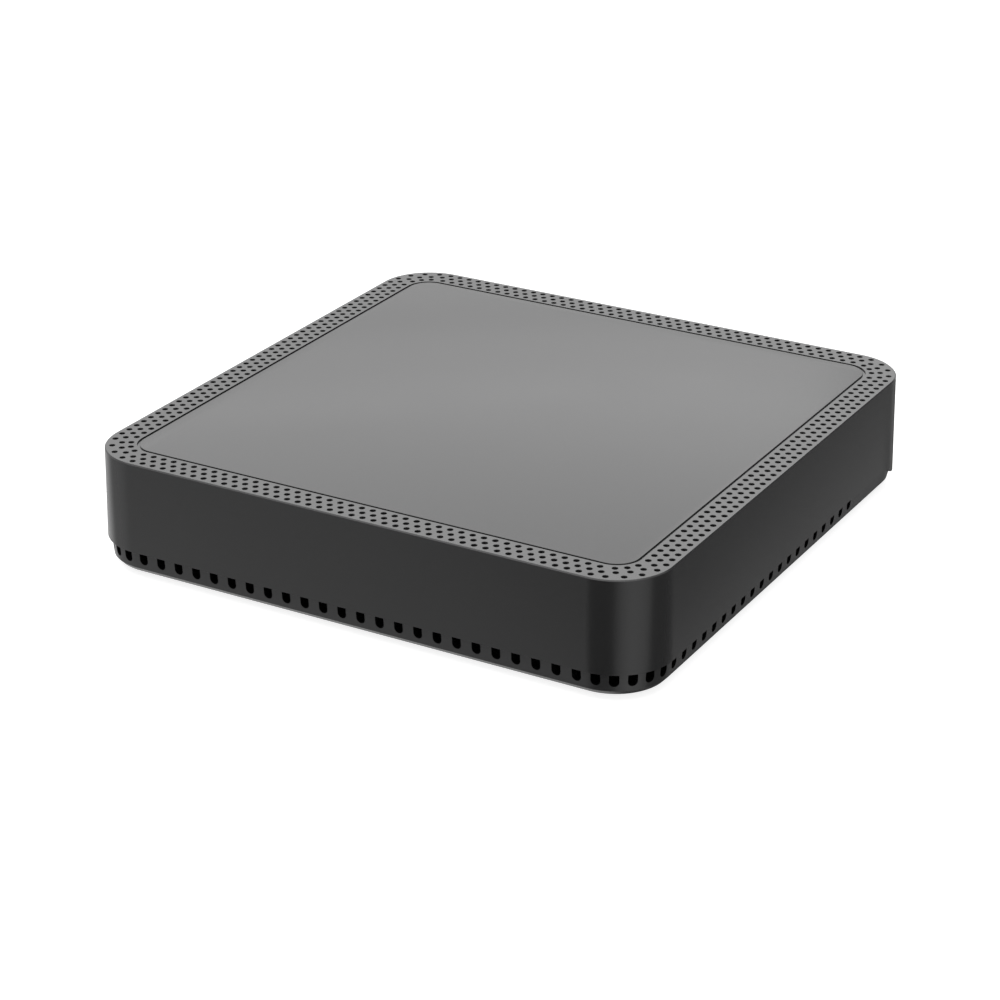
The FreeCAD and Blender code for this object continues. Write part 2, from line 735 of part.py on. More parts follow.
def notch_cutter():
    """One U-shaped notch at the origin, pointing along -Y through the wall."""
    half = number("notch_width / 2")
    bottom = number("parting - notch_depth")
    top = number("parting") + half
    depth = number("2 * rib_bite + base_wall")
    corners = [FreeCAD.Vector(half, 0, bottom + half), FreeCAD.Vector(half, 0, top),
               FreeCAD.Vector(-half, 0, top), FreeCAD.Vector(-half, 0, bottom + half)]
    edges = [Part.LineSegment(corners[index], corners[index + 1]).toShape() for index in range(3)]
    edges.append(Part.Arc(corners[3], FreeCAD.Vector(0, 0, bottom), corners[0]).toShape())
    profile = Part.Face(Part.Wire(edges))
    profile.translate(FreeCAD.Vector(0, -number("rib_bite"), 0))
    return profile.extrude(FreeCAD.Vector(0, depth, 0))


def notch_places():
    """Position on the outer wall and turn of every notch: front, front corners and sides."""
    half, centre = number("base_half"), number("corner_centre")
    pitch = number("notch_pitch")
    reach = number("notch_front_first")
    while reach < centre:
        yield reach, -half, 0
        yield -reach, -half, 0
        reach += pitch
    count = round(number("notch_corner_count"))
    for index in range(count):
        turn = 45 + (index - (count - 1) / 2) * number("notch_corner_step")
        swing = math.radians(turn)
        across = centre + (half - centre) * math.sin(swing)
        along = -centre - (half - centre) * math.cos(swing)
        yield across, along, turn
        yield -across, along, -turn
    along = number("notch_side_lead") - centre
    while along < centre - number("notch_side_blank"):
        yield half, along, 90
        yield -half, along, -90
        along += pitch


def make_base_tray():
    body = new_body("tray")
    outline = new_sketch(body, "tray_outline", "XY_Plane", "foot_stand")
    rounded_rectangle(outline, "base_half", "base_half", "base_half - corner_centre")
    outer = pad(body, "tray_outer", outline, "base_height - parting_gap")
    doc.recompute()
    under = edges_between(outer, number("foot_stand"), number("foot_stand"))
    dress(body, "Fillet", "tray_round", outer, under, "base_round")

    hollow = new_sketch(body, "tray_hollow", "XY_Plane", "floor_top")
    rounded_rectangle(hollow, "tray_inner", "tray_inner", "tray_inner - corner_centre")
    pocket(body, "tray_inside", hollow, "2 * base_height", reverse=True)

    upper = new_sketch(body, "tray_upper_edge", "YZ_Plane")
    parting_profile(upper, "parting - parting_gap", "2 * cover_drop")
    pocket(body, "tray_edge_cut", upper, "4 * cover_half", both_ways=True)

    label = new_sketch(body, "label_outline", "XY_Plane", "foot_stand + label_depth")
    rounded_rectangle(label, "label_half_length", "label_half_width", "label_corner")
    pocket(body, "label_recess", label, "2 * label_depth")

    sleeve = new_sketch(body, "sleeve_outline", "XY_Plane", "floor_top")
    circle(sleeve, "sleeve_radius", "post_offset", "post_offset")
    sleeve_pad = pad(body, "sleeve", sleeve, "sleeve_height")
    rib = new_sketch(body, "sleeve_rib_outline", "XY_Plane", "floor_top", turn=45)
    rectangle(rib, "sqrt(2) * post_offset + head_bore_radius + rib_bite",
              "(sqrt(2) - 1) * corner_centre + tray_inner + rib_bite",
              "-rib_thickness / 2", "rib_thickness / 2")
    rib_pad = pad(body, "sleeve_rib", rib, "parting - parting_gap - floor_top")
    recess = new_sketch(body, "foot_recess_outline", "XY_Plane", "foot_stand + foot_recess")
    circle(recess, "foot_radius + foot_fit", "post_offset", "post_offset")
    foot_cut = pocket(body, "foot_recess", recess, "2 * foot_recess")
    head = new_sketch(body, "head_bore_outline", "XY_Plane", "head_level")
    circle(head, "head_bore_radius", "post_offset", "post_offset")
    head_cut = pocket(body, "head_bore", head, "2 * head_seat")
    bore = new_sketch(body, "screw_bore_outline", "XY_Plane", "sleeve_top")
    circle(bore, "cover_screw_bore", "post_offset", "post_offset")
    bore_cut = pocket(body, "screw_bore", bore, "sleeve_height + base_floor")
    four_round(body, "corner_posts", [sleeve_pad, rib_pad, foot_cut, head_cut, bore_cut])

    standoffs = new_sketch(body, "standoff_outlines", "XY_Plane", "floor_top")
    pilots = new_sketch(body, "standoff_pilots", "XY_Plane", "board_under")
    for x, y in board_screw_places():
        circle(standoffs, "standoff_radius", x, y)
        circle(pilots, "standoff_pilot", x, y)
    pad(body, "standoffs", standoffs, "standoff_height")
    pocket(body, "standoff_holes", pilots, "standoff_pilot_depth")

    rails = new_sketch(body, "rail_outlines", "XY_Plane", "floor_top")
    slot = "(aerial_thickness / 2 + aerial_fit)"
    for face in ("aerial_offset - %s - rail_thickness" % slot, "aerial_offset + " + slot):
        for side in ("", "-"):
            near = "%s(%s)" % (side, face)
            far = "%s(%s + rail_thickness)" % (side, face)
            left, right = (near, far) if side == "" else (far, near)
            rectangle(rails, left, right, "aerial_side_y - aerial_length / 2",
                      "aerial_side_y + aerial_length / 2")
            ends = ["%saerial_front_x - aerial_length / 2" % side,
                    "%saerial_front_x + aerial_length / 2" % side]
            rectangle(rails, ends[0], ends[1], "-(%s + rail_thickness)" % face, "-(%s)" % face)
    pad(body, "aerial_rails", rails, "rail_height")

    stop = new_sketch(body, "panel_rail_outline", "XY_Plane", "floor_top")
    rectangle(stop, "-panel_rail_half", "panel_rail_half",
              "panel_back - parting_gap - rail_thickness", "panel_back - parting_gap")
    pad(body, "panel_rail", stop, "panel_rail_height")

    notch = notch_cutter()
    cutters = []
    for x, y, turn in notch_places():
        copy = notch.copy()
        copy.Placement = FreeCAD.Placement(FreeCAD.Vector(x, y, 0),
                                           FreeCAD.Rotation(FreeCAD.Vector(0, 0, 1), turn))
        cutters.append(copy)
    tool = shape_feature("notch_cutters", Part.makeCompound(cutters))
    node(cut("tray", body, tool), "base_tray")


def make_feet():
    body = new_body("feet")
    outline = new_sketch(body, "foot_outline", "XY_Plane")
    circle(outline, "foot_radius", "post_offset", "post_offset")
    foot = pad(body, "foot", outline, "foot_stand + foot_recess")
    doc.recompute()
    edge = dress(body, "Chamfer", "foot_edge", foot, edges_between(foot, 0, 0), "foot_chamfer")
    four_round(body, "four_feet", [foot, edge])
    node(body, "rubber_feet")


def screw_solid(name, head_radius, head_height, radius, length, x, y, seat, upwards):
    """A pan head with a plain shank; the head's underside is at seat."""
    if upwards:
        head = rod(name + "_head", head_radius, head_height, x, y, "%s - (%s)" % (seat, head_height))
        shank = rod(name + "_shank", radius, length, x, y, seat)
    else:
        head = rod(name + "_head", head_radius, head_height, x, y, seat)
        shank = rod(name + "_shank", radius, length, x, y, "%s - (%s)" % (seat, length))
    return fuse(name, [head, shank])


def corners_at(side, front, back):
    return [(x, y) for x in ("-" + side, side) for y in ("-" + front, back)]


def board_screw_places():
    return corners_at("board_screw_side", "board_screw_side", "board_screw_back")


def make_screws():
    places = corners_at("post_offset", "post_offset", "post_offset")
    screws = [screw_solid("cover_screw_%d" % index, "cover_screw_head_radius",
                          "cover_screw_head_height", "cover_screw_radius", "cover_screw_length",
                          x, y, "head_level", True) for index, (x, y) in enumerate(places)]
    node(group("cover_screw_group", screws), "cover_screws")
    screws = [screw_solid("board_screw_%d" % index, "board_screw_head_radius",
                          "board_screw_head_height", "board_screw_radius", "board_screw_length",
                          x, y, "board_top", False)
              for index, (x, y) in enumerate(board_screw_places())]
    node(group("board_screw_group", screws), "board_screws")


# ---------------------------------------------------------------- circuit board and cooling

def sink_pin_places():
    return corners_at("(sink_half - sink_pin_inset)", "(sink_front - sink_pin_inset)",
                      "(sink_back - sink_pin_inset)")


def make_main_board():
    body = new_body("board")
    outline = new_sketch(body, "board_outline", "XY_Plane", "board_under")
    rounded_rectangle(outline, "board_half", "(board_back + board_half) / 2", "board_corner",
                      "0", "(board_back - board_half) / 2")
    for x, y in board_screw_places():
        circle(outline, "board_screw_bore", x, y)
    for x, y in sink_pin_places():
        circle(outline, "sink_pin_bore", x, y)
    pad(body, "board", outline, "board_thickness")
    node(body, "main_board")


def make_spreader():
    plate = block("spreader", "2 * spreader_half", "spreader_back + spreader_half",
                  "spreader_thickness", "0", "(spreader_back - spreader_half) / 2", "floor_top")
    node(plate, "heat_spreader")
    pads = [block("under_pad_%d" % index, "under_pad_length", "under_pad_width",
                  "standoff_height - spreader_thickness", "0", y, "floor_top + spreader_thickness")
            for index, y in enumerate(("processor_y", "radio_y"))]
    node(group("under_pads", pads), "board_pads")


def make_heat_sink():
    body = new_body("sink")
    base = new_sketch(body, "sink_outline", "XY_Plane", "sink_under")
    rectangle(base, "-sink_half", "sink_half", "-sink_front", "sink_back")
    for x, y in sink_pin_places():
        circle(base, "sink_pin_bore", x, y)
    pad(body, "sink_plate", base, "sink_base")
    fin = new_sketch(body, "fin_outline", "XY_Plane", "sink_under + sink_base")
    first = "(-(sink_fin_count - 1) * sink_fin_pitch / 2)"
    rectangle(fin, first + " - sink_fin_thickness / 2", first + " + sink_fin_thickness / 2",
              "-sink_front", "sink_back")
    fin_pad = pad(body, "fin", fin, "ceiling - sink_top_gap - sink_under - sink_base")
    in_line(body, "fins", [fin_pad], "X_Axis", "(sink_fin_count - 1) * sink_fin_pitch",
            "sink_fin_count")
    node(body, "heat_sink")
    seat = "sink_under + sink_base"
    length = "sink_base + sink_clearance + board_thickness + sink_pin_tip"
    pins = [screw_solid("sink_pin_%d" % index, "sink_pin_head_radius", "sink_pin_head_height",
                        "sink_pin_radius", length, x, y, seat, False)
            for index, (x, y) in enumerate(sink_pin_places())]
    node(group("sink_pins", pins), "heat_sink_pins")


def make_chips():
    node(block("cpu", "processor_side", "processor_side", "processor_height", "0", "processor_y",
               "board_top"), "processor")
    node(block("cpu_pad", "processor_side - pad_margin", "processor_side - pad_margin",
               "sink_clearance - processor_height", "0", "processor_y",
               "board_top + processor_height"), "processor_pad")
    memory = [block("memory_%d" % index, "memory_width", "memory_length", "memory_height",
                    side + "memory_x", "processor_y", "board_top")
              for index, side in enumerate(("-", ""))]
    node(group("memory", memory), "memory_chips")
    node(block("flash", "flash_width", "flash_length", "flash_height", "flash_x", "flash_y",
               "board_top"), "flash_chip")
    node(block("crystal", "crystal_length", "crystal_width", "crystal_height", "crystal_x",
               "flash_y", "board_top"), "clock_crystal")


def make_radio(label, index, x):
    """A radio chip under a sheet-metal can, with soft pads inside and on top."""
    node(block("radio_%d" % index, "radio_side", "radio_side", "radio_height", x, "radio_y",
               "board_top"), "radio_chip_" + label)
    outer = block("can_outer_%d" % index, "can_width", "can_length", "can_height", x, "radio_y",
                  "board_top")
    inner = block("can_inner_%d" % index, "can_width - 2 * can_sheet", "can_length - 2 * can_sheet",
                  "can_height", x, "radio_y", "board_top - can_sheet")
    node(cut("can_%d" % index, outer, inner), "radio_can_" + label)
    inside = block("inside_pad_%d" % index, "radio_side - pad_margin", "radio_side - pad_margin",
                   "can_height - can_sheet - radio_height", x, "radio_y",
                   "board_top + radio_height")
    above = block("above_pad_%d" % index, "can_width - pad_margin", "can_length - pad_margin",
                  "sink_clearance - can_height", x, "radio_y", "board_top + can_height")
    node(group("radio_pads_%d" % index, [inside, above]), "radio_pads_" + label)


def make_power_parts():
    coils = [block("coil_%d" % index, "coil_side", "coil_side", "coil_height", "coil_x",
                   "coil_y + %d * coil_step" % index, "board_top") for index in range(2)]
    node(group("coils", coils), "power_coils")
    cans = [rod("capacitor_%d" % index, "capacitor_radius", "capacitor_height",
                "capacitor_x - %d * capacitor_step" % index, "capacitor_y", "board_top")
            for index in range(3)]
    node(group("capacitor_group", cans), "capacitors")


# ---------------------------------------------------------------- aerials

def lead_wire(points, radius):
    """Straight runs joined by tangent arcs of one radius."""
    edges = []
    start = points[0]
    for before, corner, after in zip(points, points[1:], points[2:]):
        arriving = (corner - before).normalize()
        leaving = (after - corner).normalize()
        turn = arriving.getAngle(leaving)
        setback = radius * math.tan(turn / 2)
        enter = corner - arriving * setback
        leave = corner + leaving * setback
        inward = (leaving - arriving).normalize()
        middle = corner + inward * (radius / math.cos(turn / 2) - radius)
        edges.append(Part.LineSegment(start, enter).toShape())
        edges.append(Part.Arc(enter, middle, leave).toShape())
        start = leave
    edges.append(Part.LineSegment(start, points[-1]).toShape())
    return Part.Wire(edges)


def lead_solid(outward, sideways, plug, aerial, shift):
    """A thin lead from an aerial board to its plug, with one gentle sideways step."""
    height = FreeCAD.Vector(0, 0, number("board_top + lead_height"))
    span = aerial - plug
    route = [height + outward * aerial + sideways * shift,
             height + outward * (aerial - span / 3) + sideways * shift,
             height + outward * (plug + span / 3),
             height + outward * plug]
    bend = span / 3
    diagonal = math.hypot(bend, shift)
    turn = math.atan2(abs(shift), bend)
    radius = 0.45 * min(bend, diagonal) / math.tan(turn / 2)
    wire = lead_wire(route, radius)
    ring = Part.Wire(Part.makeCircle(number("lead_radius"), route[0], outward))
    return wire.makePipeShell([ring], True, False)


def make_aerials():
    """Four upright aerial boards in the tray's rails, with leads plugged on to the board."""
    boards = {
        "aerial_left": ("aerial_thickness", "aerial_length", "-aerial_offset", "aerial_side_y"),
        "aerial_right": ("aerial_thickness", "aerial_length", "aerial_offset", "aerial_side_y"),
        "aerial_front_left": ("aerial_length", "aerial_thickness", "-aerial_front_x",
                              "-aerial_offset"),
        "aerial_front_right": ("aerial_length", "aerial_thickness", "aerial_front_x",
                               "-aerial_offset"),
    }
    for label, (length, width, x, y) in boards.items():
        node(block(label + "_board", length, width, "aerial_height", x, y, "floor_top"), label)

    right, front = FreeCAD.Vector(1, 0, 0), FreeCAD.Vector(0, -1, 0)
    shift = number("lead_shift")
    side_y, front_x = number("aerial_side_y"), number("aerial_front_x")
    inner_face = number("aerial_offset - aerial_thickness / 2")
    plug_face = number("board_half - lead_plug_inset + lead_plug_side / 2")
    leads = []
    for sign in (-1, 1):
        lead = lead_solid(right * sign, FreeCAD.Vector(0, 1, 0), plug_face, inner_face, shift)
        lead.translate(FreeCAD.Vector(0, side_y, 0))
        leads.append(lead)
        lead = lead_solid(front, right * sign, plug_face, inner_face, shift)
        lead.translate(FreeCAD.Vector(sign * front_x, 0, 0))
        leads.append(lead)
    middle = "(board_half - lead_plug_inset)"
    plug_places = [("-" + middle, "aerial_side_y"), (middle, "aerial_side_y"),
                   ("-aerial_front_x", "-" + middle), ("aerial_front_x", "-" + middle)]
    plugs = [block("lead_plug_%d" % index, "lead_plug_side", "lead_plug_side", "lead_plug_height",
                   x, y, "board_top") for index, (x, y) in enumerate(plug_places)]
    node(shape_feature("leads", Part.makeCompound(leads)), "aerial_leads")
    node(group("lead_plug_group", plugs), "lead_plugs")


# ---------------------------------------------------------------- sockets

def make_lan_socket(number_label, x):
    """A shielded network socket: sheet shield, moulding, eight contacts."""
    outer = block("lan_outer_" + number_label, "lan_width", "lan_depth", "lan_height", x,
                  "panel_face - lan_depth / 2", "board_top")
    inner = block("lan_inner_" + number_label, "lan_width - 2 * lan_sheet", "lan_depth",
                  "lan_height", x, "panel_face - lan_depth / 2 + lan_sheet", "board_top - lan_sheet")
    node(cut("lan_wrap_" + number_label, outer, inner), "lan_shield_" + number_label)

    body = new_body("lan_" + number_label)
    half = "(lan_width / 2 - lan_sheet)"
    face = new_sketch(body, "lan_face", "XZ_Plane", "-panel_face")
    rectangle(face, "%s - %s" % (x, half), "%s + %s" % (x, half), "board_top",
              "board_top + lan_height - lan_sheet")
    pad(body, "lan_moulding", face, "lan_depth - lan_sheet")
    opening = new_sketch(body, "lan_opening", "XZ_Plane", "-panel_face")
    levels = ["board_top + lan_plug_base - lan_latch_height - lan_tongue_height",
              "board_top + lan_plug_base - lan_latch_height", "board_top + lan_plug_base",
              "board_top + lan_plug_base + lan_plug_height"]
    widths = ["lan_tongue_width / 2", "lan_latch_width / 2", "lan_plug_width / 2"]
    steps = []
    for index, width in enumerate(widths):
        steps += [(width, levels[index]), (width, levels[index + 1])]
    right_side = [("%s + %s" % (x, width), level) for width, level in steps]
    left_side = [("%s - %s" % (x, width), level) for width, level in reversed(steps)]
    polygon(opening, right_side + left_side)
    pocket(body, "lan_plug_space", opening, "lan_plug_depth", reverse=True)
    seats = new_sketch(body, "link_light_seats", "XZ_Plane", "-panel_face")
    low = "board_top + lan_plug_base + lan_plug_height + link_light_gap"
    lights = []
    for side in ("-", "+"):
        middle = "%s %s (lan_plug_width / 2 - link_light_gap - link_light_width / 2)" % (x, side)
        reach = "(link_light_width / 2 + link_light_fit)"
        rectangle(seats, "%s - %s" % (middle, reach), "%s + %s" % (middle, reach),
                  low + " - link_light_fit", low + " + link_light_height + link_light_fit")
        lights.append(block("link_light_%s_%d" % (number_label, len(lights)), "link_light_width",
                            "link_light_depth", "link_light_height", middle,
                            "panel_face - link_light_depth / 2", low))
    pocket(body, "link_light_pockets", seats, "link_light_depth + link_light_fit", reverse=True)
    node(body, "lan_socket_" + number_label)
    node(group("link_light_pair_" + number_label, lights), "link_lights_" + number_label)

    contact = doc.addObject("Part::Box", "contact_" + number_label)
    bind(contact, "Length", "contact_width")
    bind(contact, "Width", "contact_length")
    bind(contact, "Height", "contact_thickness")
    contact.Placement = FreeCAD.Placement(FreeCAD.Vector(0, 0, 0),
                                          FreeCAD.Rotation(FreeCAD.Vector(1, 0, 0), 1))
    bind(contact, "Placement.Rotation.Angle", "contact_slope")
    doc.recompute()
    contacts = []
    for index in range(int(number("contact_count"))):
        offset = (index - (number("contact_count") - 1) / 2) * number("contact_pitch")
        copy = contact.Shape.copy()
        copy.translate(FreeCAD.Vector(
            number(x) + offset - number("contact_width / 2"),
            number("panel_face - lan_plug_depth + contact_thickness * sin(contact_slope)"),
            number("board_top + lan_plug_base + lan_plug_height - contact_thickness * 2")
            - number("contact_length * sin(contact_slope)")))
        contacts.append(copy)
    node(shape_feature("lan_contact_group_" + number_label, Part.makeCompound(contacts)),
         "lan_contacts_" + number_label)


def make_power_inlet():
    housing = block("inlet_block", "inlet_width", "inlet_depth", "inlet_height", "inlet_x",
                    "panel_face - inlet_depth / 2", "board_top")
    bore = rod("inlet_bore", "inlet_bore", "inlet_bore_depth + 1", "inlet_x",
               "panel_face - inlet_bore_depth", "controls", rearward=True)
    node(cut("inlet", housing, bore), "power_inlet")
    node(rod("inlet_centre", "inlet_pin", "inlet_pin_length", "inlet_x",
             "panel_face - inlet_bore_depth", "controls", rearward=True), "inlet_pin")


def make_transformers():
    boxes = [block("transformer_%d" % index, "transformer_width", "transformer_length",
                   "transformer_height", x, "transformer_y", "board_top")
             for index, x in enumerate(("lan_first_x", "lan_last_x"))]
    node(group("transformers", boxes), "lan_transformers")


# ---------------------------------------------------------------- port panel and controls

def make_port_panel():
    body = new_body("ports")
    outline = new_sketch(body, "panel_outline", "XZ_Plane", "-collar_face")
    high = "ceiling - panel_top_gap"
    rounded_rectangle(outline, "panel_half", "(%s - floor_top) / 2" % high, "panel_corner", "0",
                      "(%s + floor_top) / 2" % high)
    pad(body, "panel", outline, "collar_face - panel_back")
    recess = new_sketch(body, "recess_outline", "XZ_Plane", "-collar_face")
    rounded_rectangle(recess, "bay_half + collar_gap", "(bay_top - bay_bottom) / 2 + collar_gap",
                      "bay_corner + collar_gap", "0", "(bay_top + bay_bottom) / 2")
    pocket(body, "panel_recess", recess, "collar_face - panel_face", reverse=True)

    holes = new_sketch(body, "panel_cutouts", "XZ_Plane", "-panel_face")
    for x, width, height in (("lan_first_x", "lan_width", "lan_height"),
                             ("lan_last_x", "lan_width", "lan_height"),
                             ("inlet_x", "inlet_width", "inlet_height")):
        half = "(%s / 2 + cutout_gap)" % width
        rectangle(holes, "%s - %s" % (x, half), "%s + %s" % (x, half),
                  "board_top - cutout_gap", "board_top + %s + cutout_gap" % height)
    circle(holes, "pair_radius + pair_gap", "pair_x", "controls")
    circle(holes, "reset_hole", "reset_x", "controls")
    circle(holes, "light_pipe_radius + light_pipe_gap", "light_x", "controls")
    pocket(body, "panel_holes", holes, "2 * panel_thickness", reverse=True)
    node(body, "port_panel")


def make_button(label, x, radius, tip, flange_radius, edge_round):
    """A stepped round button: its face stands at tip, its flange sits behind the panel."""
    body = new_body(label)
    flange = new_sketch(body, label + "_flange_outline", "XZ_Plane", "-flange_back")
    circle(flange, flange_radius, x, "controls")
    pad(body, label + "_flange", flange, "flange_thickness", reverse=True)
    stem = new_sketch(body, label + "_stem_outline", "XZ_Plane", "-flange_back")
    circle(stem, radius, x, "controls")
    length = "%s - flange_back" % tip
    face = pad(body, label + "_stem", stem, length, reverse=True)
    if edge_round:
        doc.recompute()
        rear = number(tip)
        rims = ["Edge%d" % (index + 1) for index, edge in enumerate(face.Shape.Edges)
                if abs(edge.BoundBox.YMin - rear) < 1e-4]
        dress(body, "Fillet", label + "_round", face, rims, edge_round)
    node(body, label)
    node(rod(label + "_pusher", "plunger_radius", "travel_gap + plunger_reach", x,
             "switch_face - plunger_reach", "controls", rearward=True),
         label.replace("button", "plunger"))
    housing = block(label + "_case", "switch_width", "switch_depth", "switch_height", x,
                    "switch_face - switch_depth / 2", "board_top")
    bore = rod(label + "_case_bore", "plunger_radius + plunger_gap", "switch_bore_depth + 1", x,
               "switch_face - switch_bore_depth", "controls", rearward=True)
    node(cut(label + "_switch_case", housing, bore), label.replace("button", "switch"))


def make_status_light():
    """A lamp on the board and a bent clear pipe that carries its light to the panel."""
    node(block("lamp", "lamp_side", "lamp_side", "lamp_height", "light_x", "lamp_y", "board_top"),
         "status_lamp")
    body = new_body("pipe")
    leg = new_sketch(body, "pipe_leg_outline", "XY_Plane", "board_top + lamp_height + lamp_gap")
    side = "light_pipe_radius"
    rectangle(leg, "light_x - " + side, "light_x + " + side, "lamp_y - " + side,
              "lamp_y + " + side)
    pad(body, "pipe_leg", leg, "control_height - lamp_height - lamp_gap + light_pipe_radius")
    arm = new_sketch(body, "pipe_arm_outline", "XZ_Plane", "-lamp_y")
    circle(arm, "light_pipe_radius", "light_x", "controls")
    pad(body, "pipe_arm", arm, "panel_thickness + light_pipe_leg", reverse=True)
    node(body, "light_pipe")


# ---------------------------------------------------------------- assembly

make_top_cover()
make_top_plate()
make_base_tray()
make_feet()
make_screws()
make_main_board()
make_spreader()
make_heat_sink()
make_chips()
make_radio("left", 0, "-radio_x")
make_radio("right", 1, "radio_x")
make_power_parts()
make_aerials()
make_lan_socket("1", "lan_first_x")
make_lan_socket("2", "lan_last_x")
make_power_inlet()
make_transformers()
make_port_panel()
make_button("pair_button", "pair_x", "pair_radius", "(panel_face + pair_proud)",
            "pair_radius + flange_extra", "pair_round")
make_button("reset_button", "reset_x", "reset_radius", "(panel_face - reset_sunk)",
            "reset_hole + flange_extra", None)
make_status_light()
doc.recompute()

for item in doc.Objects:
    if "Invalid" in item.State or "Error" in item.State:
        raise RuntimeError("%s failed: %s" % (item.Name, item.State))
for item in nodes:
    if item.Shape.isNull() or not item.Shape.isValid():
        raise RuntimeError("%s has no valid shape" % item.Label)

os.makedirs("parts", exist_ok=True)
for item in nodes:
    item.Shape.exportStep("parts/%s.step" % item.Label)
    print("%-20s %2d solids %10.1f mm3" % (item.Label, len(item.Shape.Solids), item.Shape.Volume))
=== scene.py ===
"""Mesh wifi node: finish, soft edges and studio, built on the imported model.

Every piece is modelled in metres in the model's own frame: +X to the right, +Y to the rear,
+Z up, with the origin under the middle of the footprint.
"""

import math
from contextlib import contextmanager

import bmesh
import bpy
from bpy.props import FloatProperty, FloatVectorProperty, IntProperty, PointerProperty
from bpy.types import Operator
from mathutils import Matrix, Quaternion, Vector


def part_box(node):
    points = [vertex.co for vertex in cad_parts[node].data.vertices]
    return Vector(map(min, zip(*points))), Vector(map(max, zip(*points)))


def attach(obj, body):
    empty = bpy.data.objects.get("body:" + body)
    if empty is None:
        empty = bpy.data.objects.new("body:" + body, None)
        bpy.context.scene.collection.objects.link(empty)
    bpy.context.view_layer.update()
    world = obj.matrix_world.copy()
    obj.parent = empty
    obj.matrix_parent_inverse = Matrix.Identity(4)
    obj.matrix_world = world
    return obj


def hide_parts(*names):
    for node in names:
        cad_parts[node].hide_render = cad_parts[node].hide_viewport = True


bl_info = {
    "name": "Mesh Wifi Node",
    "version": (1, 0, 0),
    "blender": (4, 5, 0),
    "location": "View3D > Sidebar > Mesh Node",
    "description": "Models the visible pieces of a mesh wifi node and lights them",
    "category": "Object",
}

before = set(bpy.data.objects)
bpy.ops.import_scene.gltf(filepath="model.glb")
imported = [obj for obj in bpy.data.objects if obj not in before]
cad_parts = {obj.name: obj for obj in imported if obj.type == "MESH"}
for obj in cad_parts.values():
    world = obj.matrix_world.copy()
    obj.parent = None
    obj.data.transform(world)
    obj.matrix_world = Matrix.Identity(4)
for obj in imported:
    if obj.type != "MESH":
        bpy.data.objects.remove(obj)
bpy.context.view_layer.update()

X, Y, Z = range(3)
MM = 0.001
QUARTER = math.radians(90)
TINY = 1e-6
CORNER_SEGMENTS = 24
GRAIN, RELIEF = 0.22 * MM, 0.004 * MM
BLACK, WHITE = (0, 0, 0, 1), (1, 1, 1, 1)

COVER_LOW, COVER_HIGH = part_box("top_cover")
PLATE_LOW, PLATE_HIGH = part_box("top_plate")
FEET_LOW, FEET_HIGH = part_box("rubber_feet")
PANEL_LOW, PANEL_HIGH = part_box("port_panel")
PIPE_LOW, PIPE_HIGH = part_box("light_pipe")
POST_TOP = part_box("base_tray")[1].z
# Radius and top in millimetres of a post's holes: for the foot, the screw's head, the screw
POST_HOLES = ((6.0, 1.8), (3.0, 4.3), (1.7, 9.0))


# --- sizes and colours

def length(title, size, description):
    """A length, given in millimetres."""
    return FloatProperty(name=title, default=size * MM, unit="LENGTH", precision=5,
                         description=description)


def angle(title, degrees, description):
    return FloatProperty(name=title, default=math.radians(degrees), subtype="ANGLE",
                         description=description)


def amount(title, count, description):
    return IntProperty(name=title, default=count, min=1, description=description)


